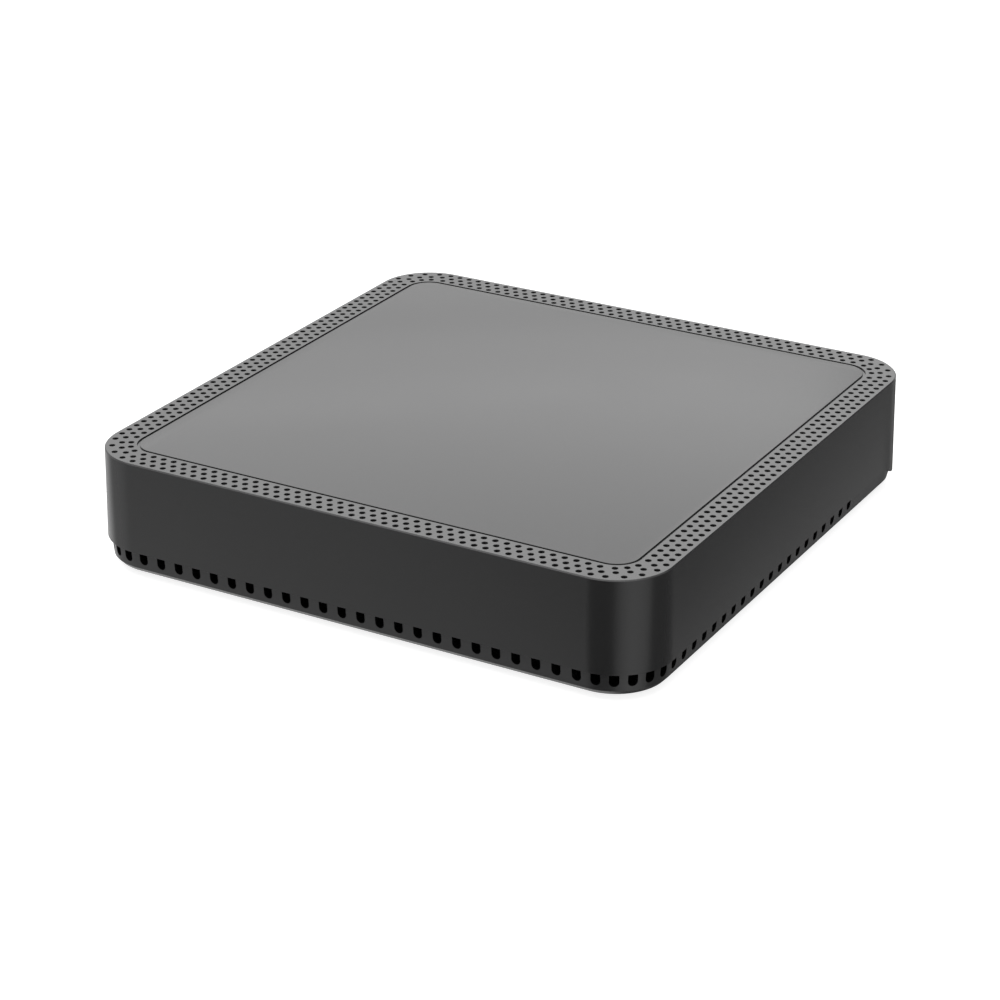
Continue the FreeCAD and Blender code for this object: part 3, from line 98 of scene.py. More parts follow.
class MeshNodeSizes(bpy.types.PropertyGroup):
    """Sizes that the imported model's boxes don't give."""
    corner_centre: length("Corner centre", 50.28, "Centres of all corner arcs, from the middle")
    parting: length("Parting", 5.88, "Height of the cover's edge at the front and sides")
    draft: angle("Draft", 1.3, "How far the cover's walls lean out towards the bottom")
    cover_wall: length("Cover wall", 2.34, "Thickness of the cover's walls")
    cover_roof: length("Cover roof", 2.2, "Thickness of the cover under the holes")
    cover_edge: length("Cover edge", 0.22, "Chamfer round the cover's top")
    lower_edge: length("Lower edge", 0.2, "Rounding along the cover's lower edge")
    parting_gap: length("Parting gap", 0.06, "Hairline between the cover and the base")
    skirt_start: length("Skirt start", 46.0, "Where the cover's edge starts to drop, along Y")
    skirt_run: length("Skirt run", 10.0, "Length of the curve in which it drops")
    vent_pitch: length("Hole pitch", 2.4, "Distance from hole to hole in a row")
    vent_radius: length("Hole radius", 0.575, "Radius of the border's holes")
    vent_rim: length("Hole rim", 0.06, "Chamfer round each hole")
    vent_outer_row: length("Outer row", 60.4, "Outer row of holes, from the middle")
    vent_row_step: length("Row step", 1.8, "Distance from row to row")
    vent_blind: length("Blind depth", 1.6, "Depth of the holes that stand over the wall")
    vent_count: amount("Holes in a row", 43, "Holes on a straight outer or inner row")
    groove_outer: length("Groove", 55.57, "Outer edge of the groove, from the middle")
    groove_width: length("Groove width", 0.55, "Width of the groove round the plate")
    groove_depth: length("Groove depth", 0.28, "Depth of the groove round the plate")
    plate_edge: length("Plate edge", 0.08, "Rounding round the plate")
    bay_half: length("Bay half width", 42.0, "Half the width of the rear window")
    bay_bottom: length("Bay bottom", 5.9, "Lower edge of the rear window")
    bay_top: length("Bay top", 21.4, "Upper edge of the rear window")
    bay_corner: length("Bay corner", 2.0, "Corner rounding of the rear window")
    panel_face: length("Panel face", 56.1, "Face of the port panel, along Y")
    panel_corner: length("Panel corner", 1.0, "Corner rounding of the port panel")
    panel_round: length("Panel rounding", 0.2, "Rounding of the panel's inner rim")
    controls: length("Controls", 12.3, "Height of the inlet, the buttons and the light")
    pair_radius: length("Pair button", 3.2, "Radius of the pair button")
    pair_round: length("Pair rounding", 0.4, "Rounding of the pair button's rim")
    pair_hole: length("Pair hole", 3.45, "Radius of the pair button's hole")
    reset_radius: length("Reset button", 0.9, "Radius of the reset button")
    reset_round: length("Reset rounding", 0.15, "Rounding of the reset button's rim")
    reset_hole: length("Reset hole", 1.2, "Radius of the reset button's hole")
    light_hole: length("Light hole", 1.25, "Radius of the light pipe's hole")
    flange_thickness: length("Flange", 1.0, "Thickness of the buttons' flanges")
    plug_width: length("Plug width", 11.8, "Width of a network socket's opening")
    plug_height: length("Plug height", 6.9, "Height of that opening over the latch")
    plug_base: length("Plug base", 4.1, "Foot of a network socket to that opening")
    plug_depth: length("Plug depth", 12.5, "Depth of that opening")
    latch_width: length("Latch width", 6.2, "Width of the step for the plug's latch")
    latch_depth: length("Latch depth", 1.6, "Depth of that step under the opening")
    key_width: length("Key width", 3.3, "Width of the slot for the latch's lever")
    key_depth: length("Key depth", 2.8, "Depth of that slot under the opening")
    inlet_bore: length("Inlet bore", 3.15, "Radius of the power inlet's bore")
    inlet_depth: length("Inlet depth", 10.0, "Depth of that bore")
    foot_radius: length("Foot radius", 5.9, "Radius of the rubber feet")
    foot_round: length("Foot rounding", 0.45, "Rounding of a foot's rim")
    foot_hollow: length("Foot hollow", 0.12, "Depth of the dish in a foot")
    foot_offset: length("Foot place", 49.5, "Middle of a foot and its post, in X and in Y")
    post_radius: length("Post radius", 4.4, "Radius of the base's screw posts")
    base_half: length("Base half width", 61.55, "Half the width of the base at its top edge")
    base_lean: length("Base lean", 0.3, "How far the base's wall leans in on the way down")
    base_edge: length("Base edge", 2.2, "Height at which that wall ends")
    base_chamfer: length("Base chamfer", 0.87, "Width of the chamfer under that wall")
    base_foot: length("Chamfer foot", 1.23, "Height at which the chamfer ends")
    base_slope: length("Base slope", 1.81, "Width of the slope from there to the underside")
    base_low: length("Base underside", 0.8, "Height of the base's underside")
    base_wall: length("Base wall", 2.0, "Thickness of the base's wall and floor")
    # Painted shade: over this height, the colour of what lies behind the base's outer face is
    # darkened to stand for shadow
    painted_shade_start: length("Coat start", 2.6, "Height at which the black coat inside starts")
    label_length: length("Label length", 60.0, "Length of the label recess in the underside")
    label_width: length("Label width", 40.0, "Width of that recess")
    label_corner: length("Label corner", 2.0, "Corner rounding of that recess")
    label_depth: length("Label depth", 0.3, "Depth of that recess")
    notch_pitch: length("Notch pitch", 4.2, "Distance from notch to notch")
    notch_width: length("Notch width", 1.9, "Width of a notch")
    notch_depth: length("Notch depth", 2.7, "Lowest point of a notch under the cover's edge")
    notch_front: length("First notch", 2.1, "First notch each side of the front's middle")
    notch_side: length("Side notch", -48.25, "Foremost notch of a side, along Y")
    notch_count: amount("Notches", 12, "Notches on each half of the front")
    notch_side_count: amount("Side notches", 20, "Notches on each side")
    notch_corner_step: angle("Corner step", 17.8, "From notch to notch round a corner")


def grey(title, level, description):
    return FloatVectorProperty(name=title, subtype="COLOR", size=3, min=0, max=1,
                               default=(level, level, level * 1.02), description=description)


class MeshNodeColours(bpy.types.PropertyGroup):
    """Colours of the mouldings, in linear light."""
    cover: grey("Cover", 0.028, "Charcoal of the cover and the top plate")
    base: grey("Base", 0.042, "Charcoal of the base tray")
    panel: grey("Port panel", 0.018, "Near black of the port panel")
    buttons: grey("Buttons", 0.075, "Grey of the buttons")
    rubber: grey("Feet", 0.012, "Black of the rubber feet")


# --- modelling tools

def make_active(piece):
    bpy.ops.object.select_all(action="DESELECT")
    piece.select_set(True)
    bpy.context.view_layer.objects.active = piece


def everything(element):
    """The test that all vertices, edges and faces pass."""
    return True


def pick(piece, kind, test=everything):
    """In edit mode, select the vertices, edges or faces that pass a test, and nothing else."""
    bpy.ops.mesh.select_mode(type=kind[:-1].upper())
    bpy.ops.mesh.select_all(action="DESELECT")
    mesh = bmesh.from_edit_mesh(piece.data)
    mesh.normal_update()
    for element in getattr(mesh, kind):
        if test(element):
            element.select_set(True)
    mesh.select_flush_mode()
    bmesh.update_edit_mesh(piece.data)


@contextmanager
def editing(piece, kind="faces", test=everything):
    """Edit mode on one piece, with the vertices, edges or faces that pass a test selected."""
    make_active(piece)
    bpy.ops.object.mode_set(mode="EDIT")
    pick(piece, kind, test)
    yield
    bpy.ops.object.mode_set(mode="OBJECT")


def facing(axis, sign=1):
    """A test for faces that look along an axis, or against it."""
    return lambda face: face.normal[axis] * sign > 0.9


def running(axis):
    """A test for edges that run along an axis."""
    return lambda edge: abs(edge.verts[0].co[axis] - edge.verts[1].co[axis]) > TINY


def ends_at(axis, level):
    """A test for edges whose two ends lie at a level of an axis."""
    return lambda edge: all(abs(vertex.co[axis] - level) < TINY for vertex in edge.verts)


def middle_of(edge):
    return (edge.verts[0].co + edge.verts[1].co) / 2


def reach_of(point, centre):
    """Distance outside the square whose corners are the centres of the corner arcs."""
    return math.hypot(max(abs(point.x) - centre, 0), max(abs(point.y) - centre, 0))


def shift(x=0, y=0, z=0):
    bpy.ops.transform.translate(value=(x, y, z))


def inset(width, rise=0):
    """In edit mode, inset the selected faces and move them up."""
    bpy.ops.mesh.inset(thickness=width)
    shift(z=rise)


def extrude(x=0, y=0, z=0):
    bpy.ops.mesh.extrude_region_move(TRANSFORM_OT_translate={"value": (x, y, z)})


def named(name):
    """Give the active object its name and put its place into its mesh."""
    piece = bpy.context.active_object
    piece.name = name
    piece.data.name = name
    bpy.ops.object.transform_apply()
    return piece


def add_block(name, low, high):
    low, high = Vector(low), Vector(high)
    bpy.ops.mesh.primitive_cube_add(size=1, location=(low + high) / 2, scale=high - low)
    return named(name)


def add_rod(name, radius, low, high, sides=48):
    """A cylinder between two end points, upright or pointing to the rear."""
    low, high = Vector(low), Vector(high)
    turn = -QUARTER if high.y > low.y else 0
    bpy.ops.mesh.primitive_cylinder_add(vertices=sides, radius=radius, depth=(high - low).length,
                                        location=(low + high) / 2, rotation=(turn, 0, 0))
    return named(name)


def add_tapered(name, half, corner, level, steps):
    """A rounded square drawn at a level; each step insets it on the way to the next level."""
    bpy.ops.mesh.primitive_plane_add(size=2 * half, location=(0, 0, level))
    piece = named(name)
    with editing(piece, "verts"):
        bpy.ops.mesh.bevel(offset=corner, segments=CORNER_SEGMENTS, affect="VERTICES")
        pick(piece, "faces")
        for width, height in steps:
            inset(width, height - level)
            level = height
        pick(piece, "edges", lambda edge: edge.is_boundary)
        bpy.ops.mesh.edge_face_add()
        pick(piece, "faces")
        bpy.ops.mesh.normals_make_consistent()
    return piece


def modify(piece, kind, **settings):
    """Add a modifier, set it and apply it."""
    make_active(piece)
    modifier = piece.modifiers.new(kind.title(), kind)
    for setting, value in settings.items():
        setattr(modifier, setting, value)
    bpy.ops.object.modifier_apply(modifier=modifier.name)
    return piece


def remove(piece):
    bpy.data.objects.remove(piece, do_unlink=True)


def cut_with(piece, cutter, operation="DIFFERENCE"):
    """Take a cutter away from a piece, or unite them; the cutter is used up."""
    modify(piece, "BOOLEAN", operation=operation, solver="EXACT", object=cutter)
    remove(cutter)


def unite_with(piece, other):
    cut_with(piece, other, "UNION")


def join(pieces, name):
    make_active(pieces[0])
    for piece in pieces:
        piece.select_set(True)
    bpy.ops.object.join()
    return named(name)


def copy_of(piece, x=0, y=0, turn=0):
    """A copy with its own mesh, moved and turned round the vertical axis."""
    make_active(piece)
    bpy.ops.object.duplicate()
    copy = bpy.context.active_object
    copy.location = (x, y, 0)
    copy.rotation_euler = (0, 0, turn)
    bpy.ops.object.transform_apply()
    return copy


def copies_of(piece, places):
    """A copy at each place, given as X, Y and turn, instead of the piece."""
    copies = [copy_of(piece, *place) for place in places]
    remove(piece)
    return copies


def four_of(piece, name):
    """A piece and its copies a quarter, a half and three quarters of a turn round."""
    return join(copies_of(piece, [(0, 0, count * QUARTER) for count in range(4)]), name)


def repeat(piece, count, step):
    """Repeat a piece along X."""
    return modify(piece, "ARRAY", count=count, use_relative_offset=False,
                  use_constant_offset=True, constant_offset_displace=(step, 0, 0))


def row_of(piece, count, step):
    """A row of copies along X, centred on where the piece stands."""
    return repeat(copy_of(piece, x=-(count - 1) / 2 * step), count, step)


def soften(piece, test, width, segments=3):
    """Round the edges that pass a test."""
    with editing(piece, "edges", test):
        bpy.ops.mesh.bevel(offset=width, segments=segments, clamp_overlap=True)


def rounded_block(name, low, high, corner, segments=6, axis=Y):
    """A block whose edges along an axis are rounded."""
    piece = add_block(name, low, high)
    soften(piece, running(axis), corner, segments)
    return piece


def finish_piece(piece, material, node, body="housing"):
    """Shade a piece, give it its finish and let it ride with its body in a node's stead."""
    make_active(piece)
    bpy.ops.object.shade_smooth_by_angle(angle=math.radians(30))
    piece.data.materials.clear()
    piece.data.materials.append(material)
    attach(piece, body)
    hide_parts(node)


def settings_of(context):
    """The object's sizes and colours."""
    return context.scene.mesh_node_sizes, context.scene.mesh_node_colours


# --- shader maths

class Channel:
    """A socket of a tree; sums, differences and products of channels add Math nodes."""

    def __init__(self, tree, socket):
        self.tree = tree
        self.socket = socket

    def math(self, operation, *others):
        values = dict(enumerate((self,) + others))
        return self.tree.node("ShaderNodeMath", values, operation=operation)

    def __add__(self, other):
        return self.math("ADD", other)

    def __mul__(self, other):
        return self.math("MULTIPLY", other)

    def __sub__(self, other):
        return self.math("SUBTRACT", other)

    def __rsub__(self, other):
        return self.tree.node("ShaderNodeMath", {0: other, 1: self}, operation="SUBTRACT")

    __radd__ = __add__
    __rmul__ = __mul__


class NodeTree:
    """A tree of shader nodes that belongs to a material or to the world."""

    def __init__(self, owner):
        owner.use_nodes = True
        self.nodes = owner.node_tree.nodes
        self.links = owner.node_tree.links

    def feed(self, socket, value):
        """Link a channel to a socket, or set a plain value on it."""
        if isinstance(value, Channel):
            self.links.new(value.socket, socket)
        else:
            socket.default_value = value

    def node(self, kind, values=None, output=0, **choices):
        """Add a node with the values or links of its sockets and its other choices."""
        made = self.nodes.new(kind)
        for choice, value in choices.items():
            if choice == "stops":
                stops = made.color_ramp.elements
                while len(stops) < len(value):
                    stops.new(1.0)
                for stop, (position, colour) in zip(stops, value):
                    stop.position = position
                    stop.color = (*colour, 1)
            else:
                setattr(made, choice, value)
        for socket, value in (values or {}).items():
            self.feed(made.inputs[socket], value)
        return Channel(self, made.outputs[output])

    def axes(self, vector):
        """The X, Y and Z parts of a vector."""
        return (self.node("ShaderNodeSeparateXYZ", {0: vector}, axis) for axis in "XYZ")

    def rise(self, value, start, end):
        """Nought up to a start, one from an end on, and even between them."""
        return self.node("ShaderNodeMapRange",
                         {"Value": value, "From Min": start, "From Max": end})

    def seen(self, *kinds):
        """One on rays of the named kinds, such as Camera or Glossy, and nought on the rest."""
        return sum(self.node("ShaderNodeLightPath", output="Is %s Ray" % kind) for kind in kinds)


class Finish(NodeTree):
    """One material and its node tree."""

    def __init__(self, name):
        self.material = bpy.data.materials.new(name)
        super().__init__(self.material)
        self.surface = self.nodes["Principled BSDF"]

    def place(self):
        """The piece's own coordinates, in metres."""
        return self.node("ShaderNodeTexCoord", output="Object")

    def noise(self, size, detail=2.0, roughness=0.5, stretch=None):
        """Noise whose patches are about a size in metres."""
        where = self.place()
        if stretch:
            where = self.node("ShaderNodeMapping", {"Vector": where, "Scale": stretch})
        return self.node("ShaderNodeTexNoise", {"Vector": where, "Scale": 1 / size,
                                                "Detail": detail, "Roughness": roughness})

    def mix(self, factor, first, second):
        """Blend two colours."""
        # Sockets 6 and 7 take the colours, and output 2 is their blend
        return self.node("ShaderNodeMix", {0: factor, 6: first, 7: second}, 2, data_type="RGBA")

    def bump(self, height, depth):
        """Relief of a depth in metres."""
        return self.node("ShaderNodeBump", {"Height": height, "Distance": depth})

    def set(self, **values):
        """Set or link sockets of the main shader, named in small letters with underscores."""
        names = {"ior": "IOR", "specular": "Specular IOR Level"}
        for name, value in values.items():
            socket = names.get(name, name.replace("_", " ").title())
            self.feed(self.surface.inputs[socket], value)
        return self.material


def rgba(colour, factor=1.0):
    return tuple(min(channel * factor, 1.0) for channel in colour[:3]) + (1.0,)


def patterned(name, colour, pattern, tints, roughness, swing, relief, **sockets):
    """A finish whose colour, roughness and relief all follow one fine pattern."""
    finish = Finish(name)
    fine = finish.noise(**pattern)
    return finish.set(base_color=finish.mix(fine, *(rgba(colour, tint) for tint in tints)),
                      roughness=(fine - 0.5) * swing + roughness,
                      normal=finish.bump(fine, relief), **sockets)


def moulding(name, colour, grain):
    """The start of a moulded finish: its fine grain, its cloudy colour and the clouds."""
    finish = Finish(name)
    fine = finish.noise(grain, detail=3.0, roughness=0.6)
    cloud = finish.noise(18 * MM, detail=1.0)
    return finish, fine, finish.mix(cloud, rgba(colour, 0.96), rgba(colour, 1.04)), cloud


def moulded_plastic(name, colour, roughness, grain=GRAIN, relief=RELIEF):
    """Injection-moulded plastic with a fine eroded grain and a faint cloudiness."""
    finish, fine, tint, cloud = moulding(name, colour, grain)
    return finish.set(base_color=tint, normal=finish.bump(fine, relief),
                      roughness=(fine - 0.5) * 0.08 + (cloud - 0.5) * 0.05 + roughness)


def tray_plastic_painted_shade(name, colour, roughness, sizes):
    """The mouldings' plastic, darkened near to black on all that lies behind the outer face:
    painted shade.
    """
    finish, fine, tint = moulding(name, colour, GRAIN)[:3]
    x, y, height = finish.axes(finish.place())
    across, along = ((side.math("ABSOLUTE") - sizes.corner_centre).math("MAXIMUM", 0)
                     for side in (x, y))
    reach = (across * across + along * along).math("SQRT")
    lean = sizes.base_lean / (sizes.parting - sizes.base_edge)
    face = (height - sizes.parting) * lean + (sizes.base_half - sizes.corner_centre)
    behind = finish.rise(face - reach, 0.03 * MM, 0.12 * MM)
    # Painted shade: behind the outer face and over a height, the colour falls to a tenth, standing
    # for the shadow inside the notches and the tray
    inside = behind * height.math("GREATER_THAN", sizes.painted_shade_start)
    return finish.set(base_color=finish.mix(inside, tint, rgba(colour, 0.1)),
                      normal=finish.bump(fine, RELIEF),
                      roughness=(fine - 0.5) * 0.08 + roughness)


def rubber(name, colour):
    return patterned(name, colour, {"size": 0.3 * MM, "detail": 4.0, "roughness": 0.7},
                     (0.85, 1.25), 0.8, 0.15, 0.01 * MM, specular=0.3)


def brushed_metal(name, colour, roughness, along="X"):
    """Rolled or brushed metal with fine lines along one axis."""
    stretch = {"X": (0.03, 1, 1), "Y": (1, 0.03, 1), "Z": (1, 1, 0.03)}[along]
    return patterned(name, colour, {"size": 0.12 * MM, "detail": 3.0, "stretch": stretch},
                     (0.9, 1.06), roughness, 0.2, 0.002 * MM, metallic=1.0)


def chip_package(name, colour):
    return patterned(name, colour, {"size": 0.15 * MM}, (0.8, 1.3), 0.55, 0.1, 0.006 * MM)


def board_laminate(name, colour, trace):
    """Solder mask over faint copper traces."""
    finish = Finish(name)
    cells = finish.node("ShaderNodeTexBrick", {
        "Vector": finish.place(), "Scale": 1 / (2.2 * MM), "Mortar Size": 0.09,
        "Color1": BLACK, "Color2": BLACK, "Mortar": WHITE}, offset=0.5)
    drawn = cells * finish.noise(6 * MM, detail=0.0).math("GREATER_THAN", 0.5)
    return finish.set(base_color=finish.mix(drawn, rgba(colour), rgba(trace)),
                      roughness=drawn * -0.08 + 0.38, normal=finish.bump(drawn, 0.03 * MM))


def clear_plastic(name, colour):
    finish = Finish(name)
    fine = finish.noise(2 * MM, detail=1.0)
    return finish.set(base_color=rgba(colour), roughness=fine * 0.06 + 0.08, ior=1.49,
                      transmission_weight=1.0)


def lit_lens(name, colour, glow):
    """A small frosted lens that glows faintly."""
    finish = Finish(name)
    fine = finish.noise(0.3 * MM, detail=1.0)
    return finish.set(base_color=finish.mix(fine, rgba(colour, 0.9), rgba(colour, 1.1)),
                      roughness=fine * 0.1 + 0.25, emission_color=rgba(colour),
                      emission_strength=glow)


# --- cover and plate

def skirt_drop(along, sizes, drop):
    """How far the cover's lower edge has dropped at a place along Y: two equal arcs."""
    run = sizes.skirt_run
    radius = (run ** 2 + drop ** 2) / (4 * drop)
    past = min(max(along - sizes.skirt_start, 0), run)
    if past <= run / 2:
        return radius - math.sqrt(radius ** 2 - past ** 2)
    return drop - radius + math.sqrt(radius ** 2 - (run - past) ** 2)


def drop_edge(piece, sizes, level):
    """Lower the rear of a wall's edge that lies at a level, in an S on the sides."""
    steps = 8
    start, centre = sizes.skirt_start, sizes.corner_centre
    drop = sizes.parting - COVER_LOW.z

    def at_level(vertex):
        return abs(vertex.co.z - level) < TINY

    with editing(piece):
        for step in range(steps):
            pick(piece, "faces", lambda face: abs(face.normal.x) > 0.9
                 or any(map(at_level, face.verts)) and abs(face.calc_center_median().x) > centre)
            bpy.ops.mesh.bisect(plane_co=(0, start + step * (centre - start) / steps, 0),
                                plane_no=(0, 1, 0))
        mesh = bmesh.from_edit_mesh(piece.data)
        places = sorted({round(vertex.co.y, 6) for vertex in mesh.verts
                         if at_level(vertex) and vertex.co.y > start + TINY})
        for along in places:
            pick(piece, "verts", lambda vertex: at_level(vertex)
                 and abs(vertex.co.y - along) < TINY)
            shift(z=-skirt_drop(along, sizes, drop))


def is_under_edge(edge, parting):
    """Whether an edge bounds a face that looks down, at or below the parting line."""
    downs = [face.normal.z < -0.6 for face in edge.link_faces]
    return middle_of(edge).z < parting + TINY and downs.count(True) == 1


def model_cover(sizes):
    top, parting, centre = COVER_HIGH.z, sizes.parting, sizes.corner_centre
    slope = math.tan(sizes.draft)
    top_half = COVER_HIGH.y - slope * (top - COVER_LOW.z)
    lean = slope * (top - parting)
    low_half = top_half + lean
    cavity = top - sizes.cover_roof - parting

    cover = add_tapered("cover_shell", low_half, low_half - centre, parting, ((lean, top),))
    with editing(cover, "faces", facing(Z, -1)):
        inset(sizes.cover_wall)
        inset(slope * cavity, cavity)
        pick(cover, "faces", facing(Z))
        inset(top_half - sizes.groove_outer)
        extrude(z=PLATE_LOW.z - top)
    drop_edge(cover, sizes, parting)
    outside = low_half - centre - sizes.cover_wall / 2
    soften(cover, lambda edge: is_under_edge(edge, parting)
           and min(reach_of(v.co, centre) for v in edge.verts) > outside, sizes.lower_edge)
    at_top = ends_at(Z, top)
    soften(cover, lambda edge: at_top(edge)
           and reach_of(middle_of(edge), centre) > top_half - centre - 0.1 * MM,
           sizes.cover_edge, segments=1)

    half, reach = sizes.bay_half, 4 * MM
    cut_with(cover, rounded_block("bay_cutter", (-half, top_half - reach, sizes.bay_bottom),
                                  (half, top_half + reach, sizes.bay_top), sizes.bay_corner,
                                  segments=8))
    cut_with(cover, vent_cutters(sizes, top))
    return cover


def vent_cutter(sizes, top, depth):
    """A cutter for one hole at the origin, flared at the top for the rim's chamfer."""
    radius, rim = sizes.vent_radius, sizes.vent_rim
    cutter = add_rod("vent_cutter", radius, (0, 0, top - depth), (0, 0, top - rim), sides=16)
    spread = 2 * rim
    with editing(cutter, "faces", facing(Z)):
        extrude(z=spread)
        scale = (radius + spread) / radius
        bpy.ops.transform.resize(value=(scale, scale, 1), center_override=(0, 0, top))
    return cutter


def vent_cutters(sizes, top):
    """All the holes of the border: three staggered rows a side, and arcs round the corners."""
    centre, through = sizes.corner_centre, 2 * sizes.cover_roof
    # Holes in a row and in its corner arc, their step there in degrees, and their depth
    rows = ((sizes.vent_count, 4, 19.0, sizes.vent_blind),
            (sizes.vent_count + 1, 3, 18.2, through),
            (sizes.vent_count, 3, 19.6, through))
    side = []
    for index, (count, corner_count, corner_step, depth) in enumerate(rows):
        offset = sizes.vent_outer_row - index * sizes.vent_row_step
        seed = vent_cutter(sizes, top, depth)
        side += copies_of(row_of(seed, count, sizes.vent_pitch), [(0, -offset)])
        turns = [math.radians(-45 + (place - (corner_count - 1) / 2) * corner_step)
                 for place in range(corner_count)]
        side += copies_of(seed, [(centre + (offset - centre) * math.cos(turn),
                                  -centre + (offset - centre) * math.sin(turn)) for turn in turns])
    return four_of(join(side, "side_vents"), "vent_cutters")


def model_plate(sizes):
    half = PLATE_HIGH.x
    shoulder = PLATE_HIGH.z - sizes.groove_depth
    plate = rounded_block("plate_face", (-half, -half, PLATE_LOW.z), (half, half, shoulder),
                          half - sizes.corner_centre, CORNER_SEGMENTS, Z)
    with editing(plate, "faces", facing(Z)):
        inset(half - (sizes.groove_outer - sizes.groove_width))
        extrude(z=sizes.groove_depth)
    soften(plate, ends_at(Z, PLATE_HIGH.z), sizes.plate_edge)
    return plate


class MESHNODE_OT_cover(Operator):
    """Model the cover with its perforated border, its rear skirt and its rear window"""
    bl_idname = "meshnode.cover"
    bl_label = "Cover"

    def execute(self, context):
        sizes, colours = settings_of(context)
        finish_piece(model_cover(sizes), moulded_plastic("charcoal_cover", colours.cover, 0.22),
                     "top_cover")
        return {"FINISHED"}


class MESHNODE_OT_plate(Operator):
    """Model the flush top plate with the groove round it"""
    bl_idname = "meshnode.plate"
    bl_label = "Top plate"

    def execute(self, context):
        sizes, colours = settings_of(context)
        finish_piece(model_plate(sizes), moulded_plastic("charcoal_plate", colours.cover, 0.22),
                     "top_plate")
        return {"FINISHED"}


# --- base tray

def notch_cutter(sizes):
    """A U-shaped cutter at the origin that points along +Y, square at the top."""
    radius = sizes.notch_width / 2
    waist = sizes.parting - sizes.notch_depth + radius
    outside, inside = -MM, sizes.base_wall + 1.2 * MM
    cutter = add_rod("notch_cutter", radius, (0, outside, waist), (0, inside, waist), sides=24)
    with editing(cutter, "verts", lambda vertex: vertex.co.z > waist + TINY):
        bpy.ops.transform.resize(value=(1, 1, 0), center_override=(0, 0, waist))
        shift(z=sizes.notch_depth)
    return cutter


def notch_cutters(sizes):
    """The notches of the front, both front corners and both sides."""
    half, centre, pitch = sizes.base_half, sizes.corner_centre, sizes.notch_pitch
    sides = (-1, 1)
    seed = notch_cutter(sizes)
    middle = sizes.notch_front + (sizes.notch_count - 1) / 2 * pitch
    cutters = copies_of(row_of(seed, sizes.notch_count, pitch),
                        [(side * middle, -half) for side in sides])
    middle = sizes.notch_side + (sizes.notch_side_count - 1) / 2 * pitch
    cutters += copies_of(row_of(seed, sizes.notch_side_count, pitch),
                         [(side * half, middle, side * QUARTER) for side in sides])
    turns = [(side, side * (QUARTER / 2 + place * sizes.notch_corner_step))
             for place in range(-2, 3) for side in sides]
    cutters += copies_of(seed, [(side * centre + (half - centre) * math.sin(turn),
                                 -centre - (half - centre) * math.cos(turn), turn)
                                for side, turn in turns])
    return join(cutters, "notch_cutters")


def model_base(sizes):
    low, wall, offset = sizes.base_low, sizes.base_wall, sizes.foot_offset
    level, floor = sizes.parting - sizes.parting_gap, sizes.base_low + sizes.base_wall
    base = add_tapered("base_shell", sizes.base_half, sizes.base_half - sizes.corner_centre, level,
                       ((sizes.base_lean, sizes.base_edge), (sizes.base_chamfer, sizes.base_foot),
                        (sizes.base_slope, low)))
    with editing(base, "faces", facing(Z)):
        inset(wall)
        extrude(z=floor - level)
    drop_edge(base, sizes, level)
    cut_with(base, notch_cutters(sizes))
    label = Vector((sizes.label_length / 2, sizes.label_width / 2, sizes.label_depth))
    middle = Vector((0, 0, low))
    cut_with(base, rounded_block("label_cutter", middle - label, middle + label,
                                 sizes.label_corner, axis=Z))

    sunk, under = 0.3 * MM, -MM
    post = add_rod("post", sizes.post_radius, (offset, offset, floor - sunk),
                   (offset, offset, POST_TOP))
    unite_with(base, four_of(post, "posts"))
    for radius, top in POST_HOLES:
        bore = add_rod("bore", radius * MM, (offset, offset, under), (offset, offset, top * MM))
        cut_with(base, four_of(bore, "bores"))
    return base


class MESHNODE_OT_base(Operator):
    """Model the base tray with its vent notches, screw posts and recesses for the feet"""
    bl_idname = "meshnode.base"
    bl_label = "Base tray"

    def execute(self, context):
        sizes, colours = settings_of(context)
        finish_piece(model_base(sizes), tray_plastic_painted_shade("charcoal_base", colours.base, 0.25, sizes),
                     "base_tray")
        return {"FINISHED"}


class MESHNODE_OT_feet(Operator):
    """Model the four rubber feet with rounded rims"""
    bl_idname = "meshnode.feet"
    bl_label = "Feet"

    def execute(self, context):
        sizes, colours = settings_of(context)
        radius = sizes.foot_radius
        place = FEET_HIGH.x - radius
        dish = 0.45 * radius
        foot = add_rod("foot", radius, (0, 0, FEET_LOW.z), (0, 0, FEET_HIGH.z), sides=64)
        with editing(foot, "faces", facing(Z, -1)):
            inset(radius - dish, sizes.foot_hollow)
        at_bottom = ends_at(Z, FEET_LOW.z)
        soften(foot, lambda edge: at_bottom(edge) and middle_of(edge).length > 2 * dish,
               sizes.foot_round, segments=4)
        feet = copies_of(foot, [(x, y) for x in (-place, place) for y in (-place, place)])
        finish_piece(join(feet, "feet"), rubber("foot_rubber", colours.rubber),
                     "rubber_feet")
        return {"FINISHED"}


# --- port panel and controls

def flare(cutter, rim):
    """Widen a rearward cutter's mouth: push its rear face out past a rim and scale it up."""
    with editing(cutter, "faces", facing(Y)):
        mouth = [vertex.co.copy() for vertex in bmesh.from_edit_mesh(cutter.data).verts
                 if vertex.select]
        low, high = (Vector([end(corner[axis] for corner in mouth) for axis in (X, Y, Z)])
                     for end in (min, max))
        extrude(y=2 * rim)
        wider, taller = (1 + 4 * rim / (high - low)[axis] for axis in (X, Z))
        bpy.ops.transform.resize(value=(wider, 1, taller), center_override=(low + high) / 2)
    return cutter


def round_cutter(radius, x, z, face, depth, rim, sides=48):
    return flare(add_rod("cutter", radius, (x, face - depth, z), (x, face - rim, z), sides), rim)


def block_cutter(low, high, corner, rim):
    return flare(rounded_block("cutter", low, (high[X], high[Y] - rim, high[Z]), corner), rim)


def middle_x(name):
    """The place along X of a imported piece."""
    low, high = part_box(name)
    return (low.x + high.x) / 2


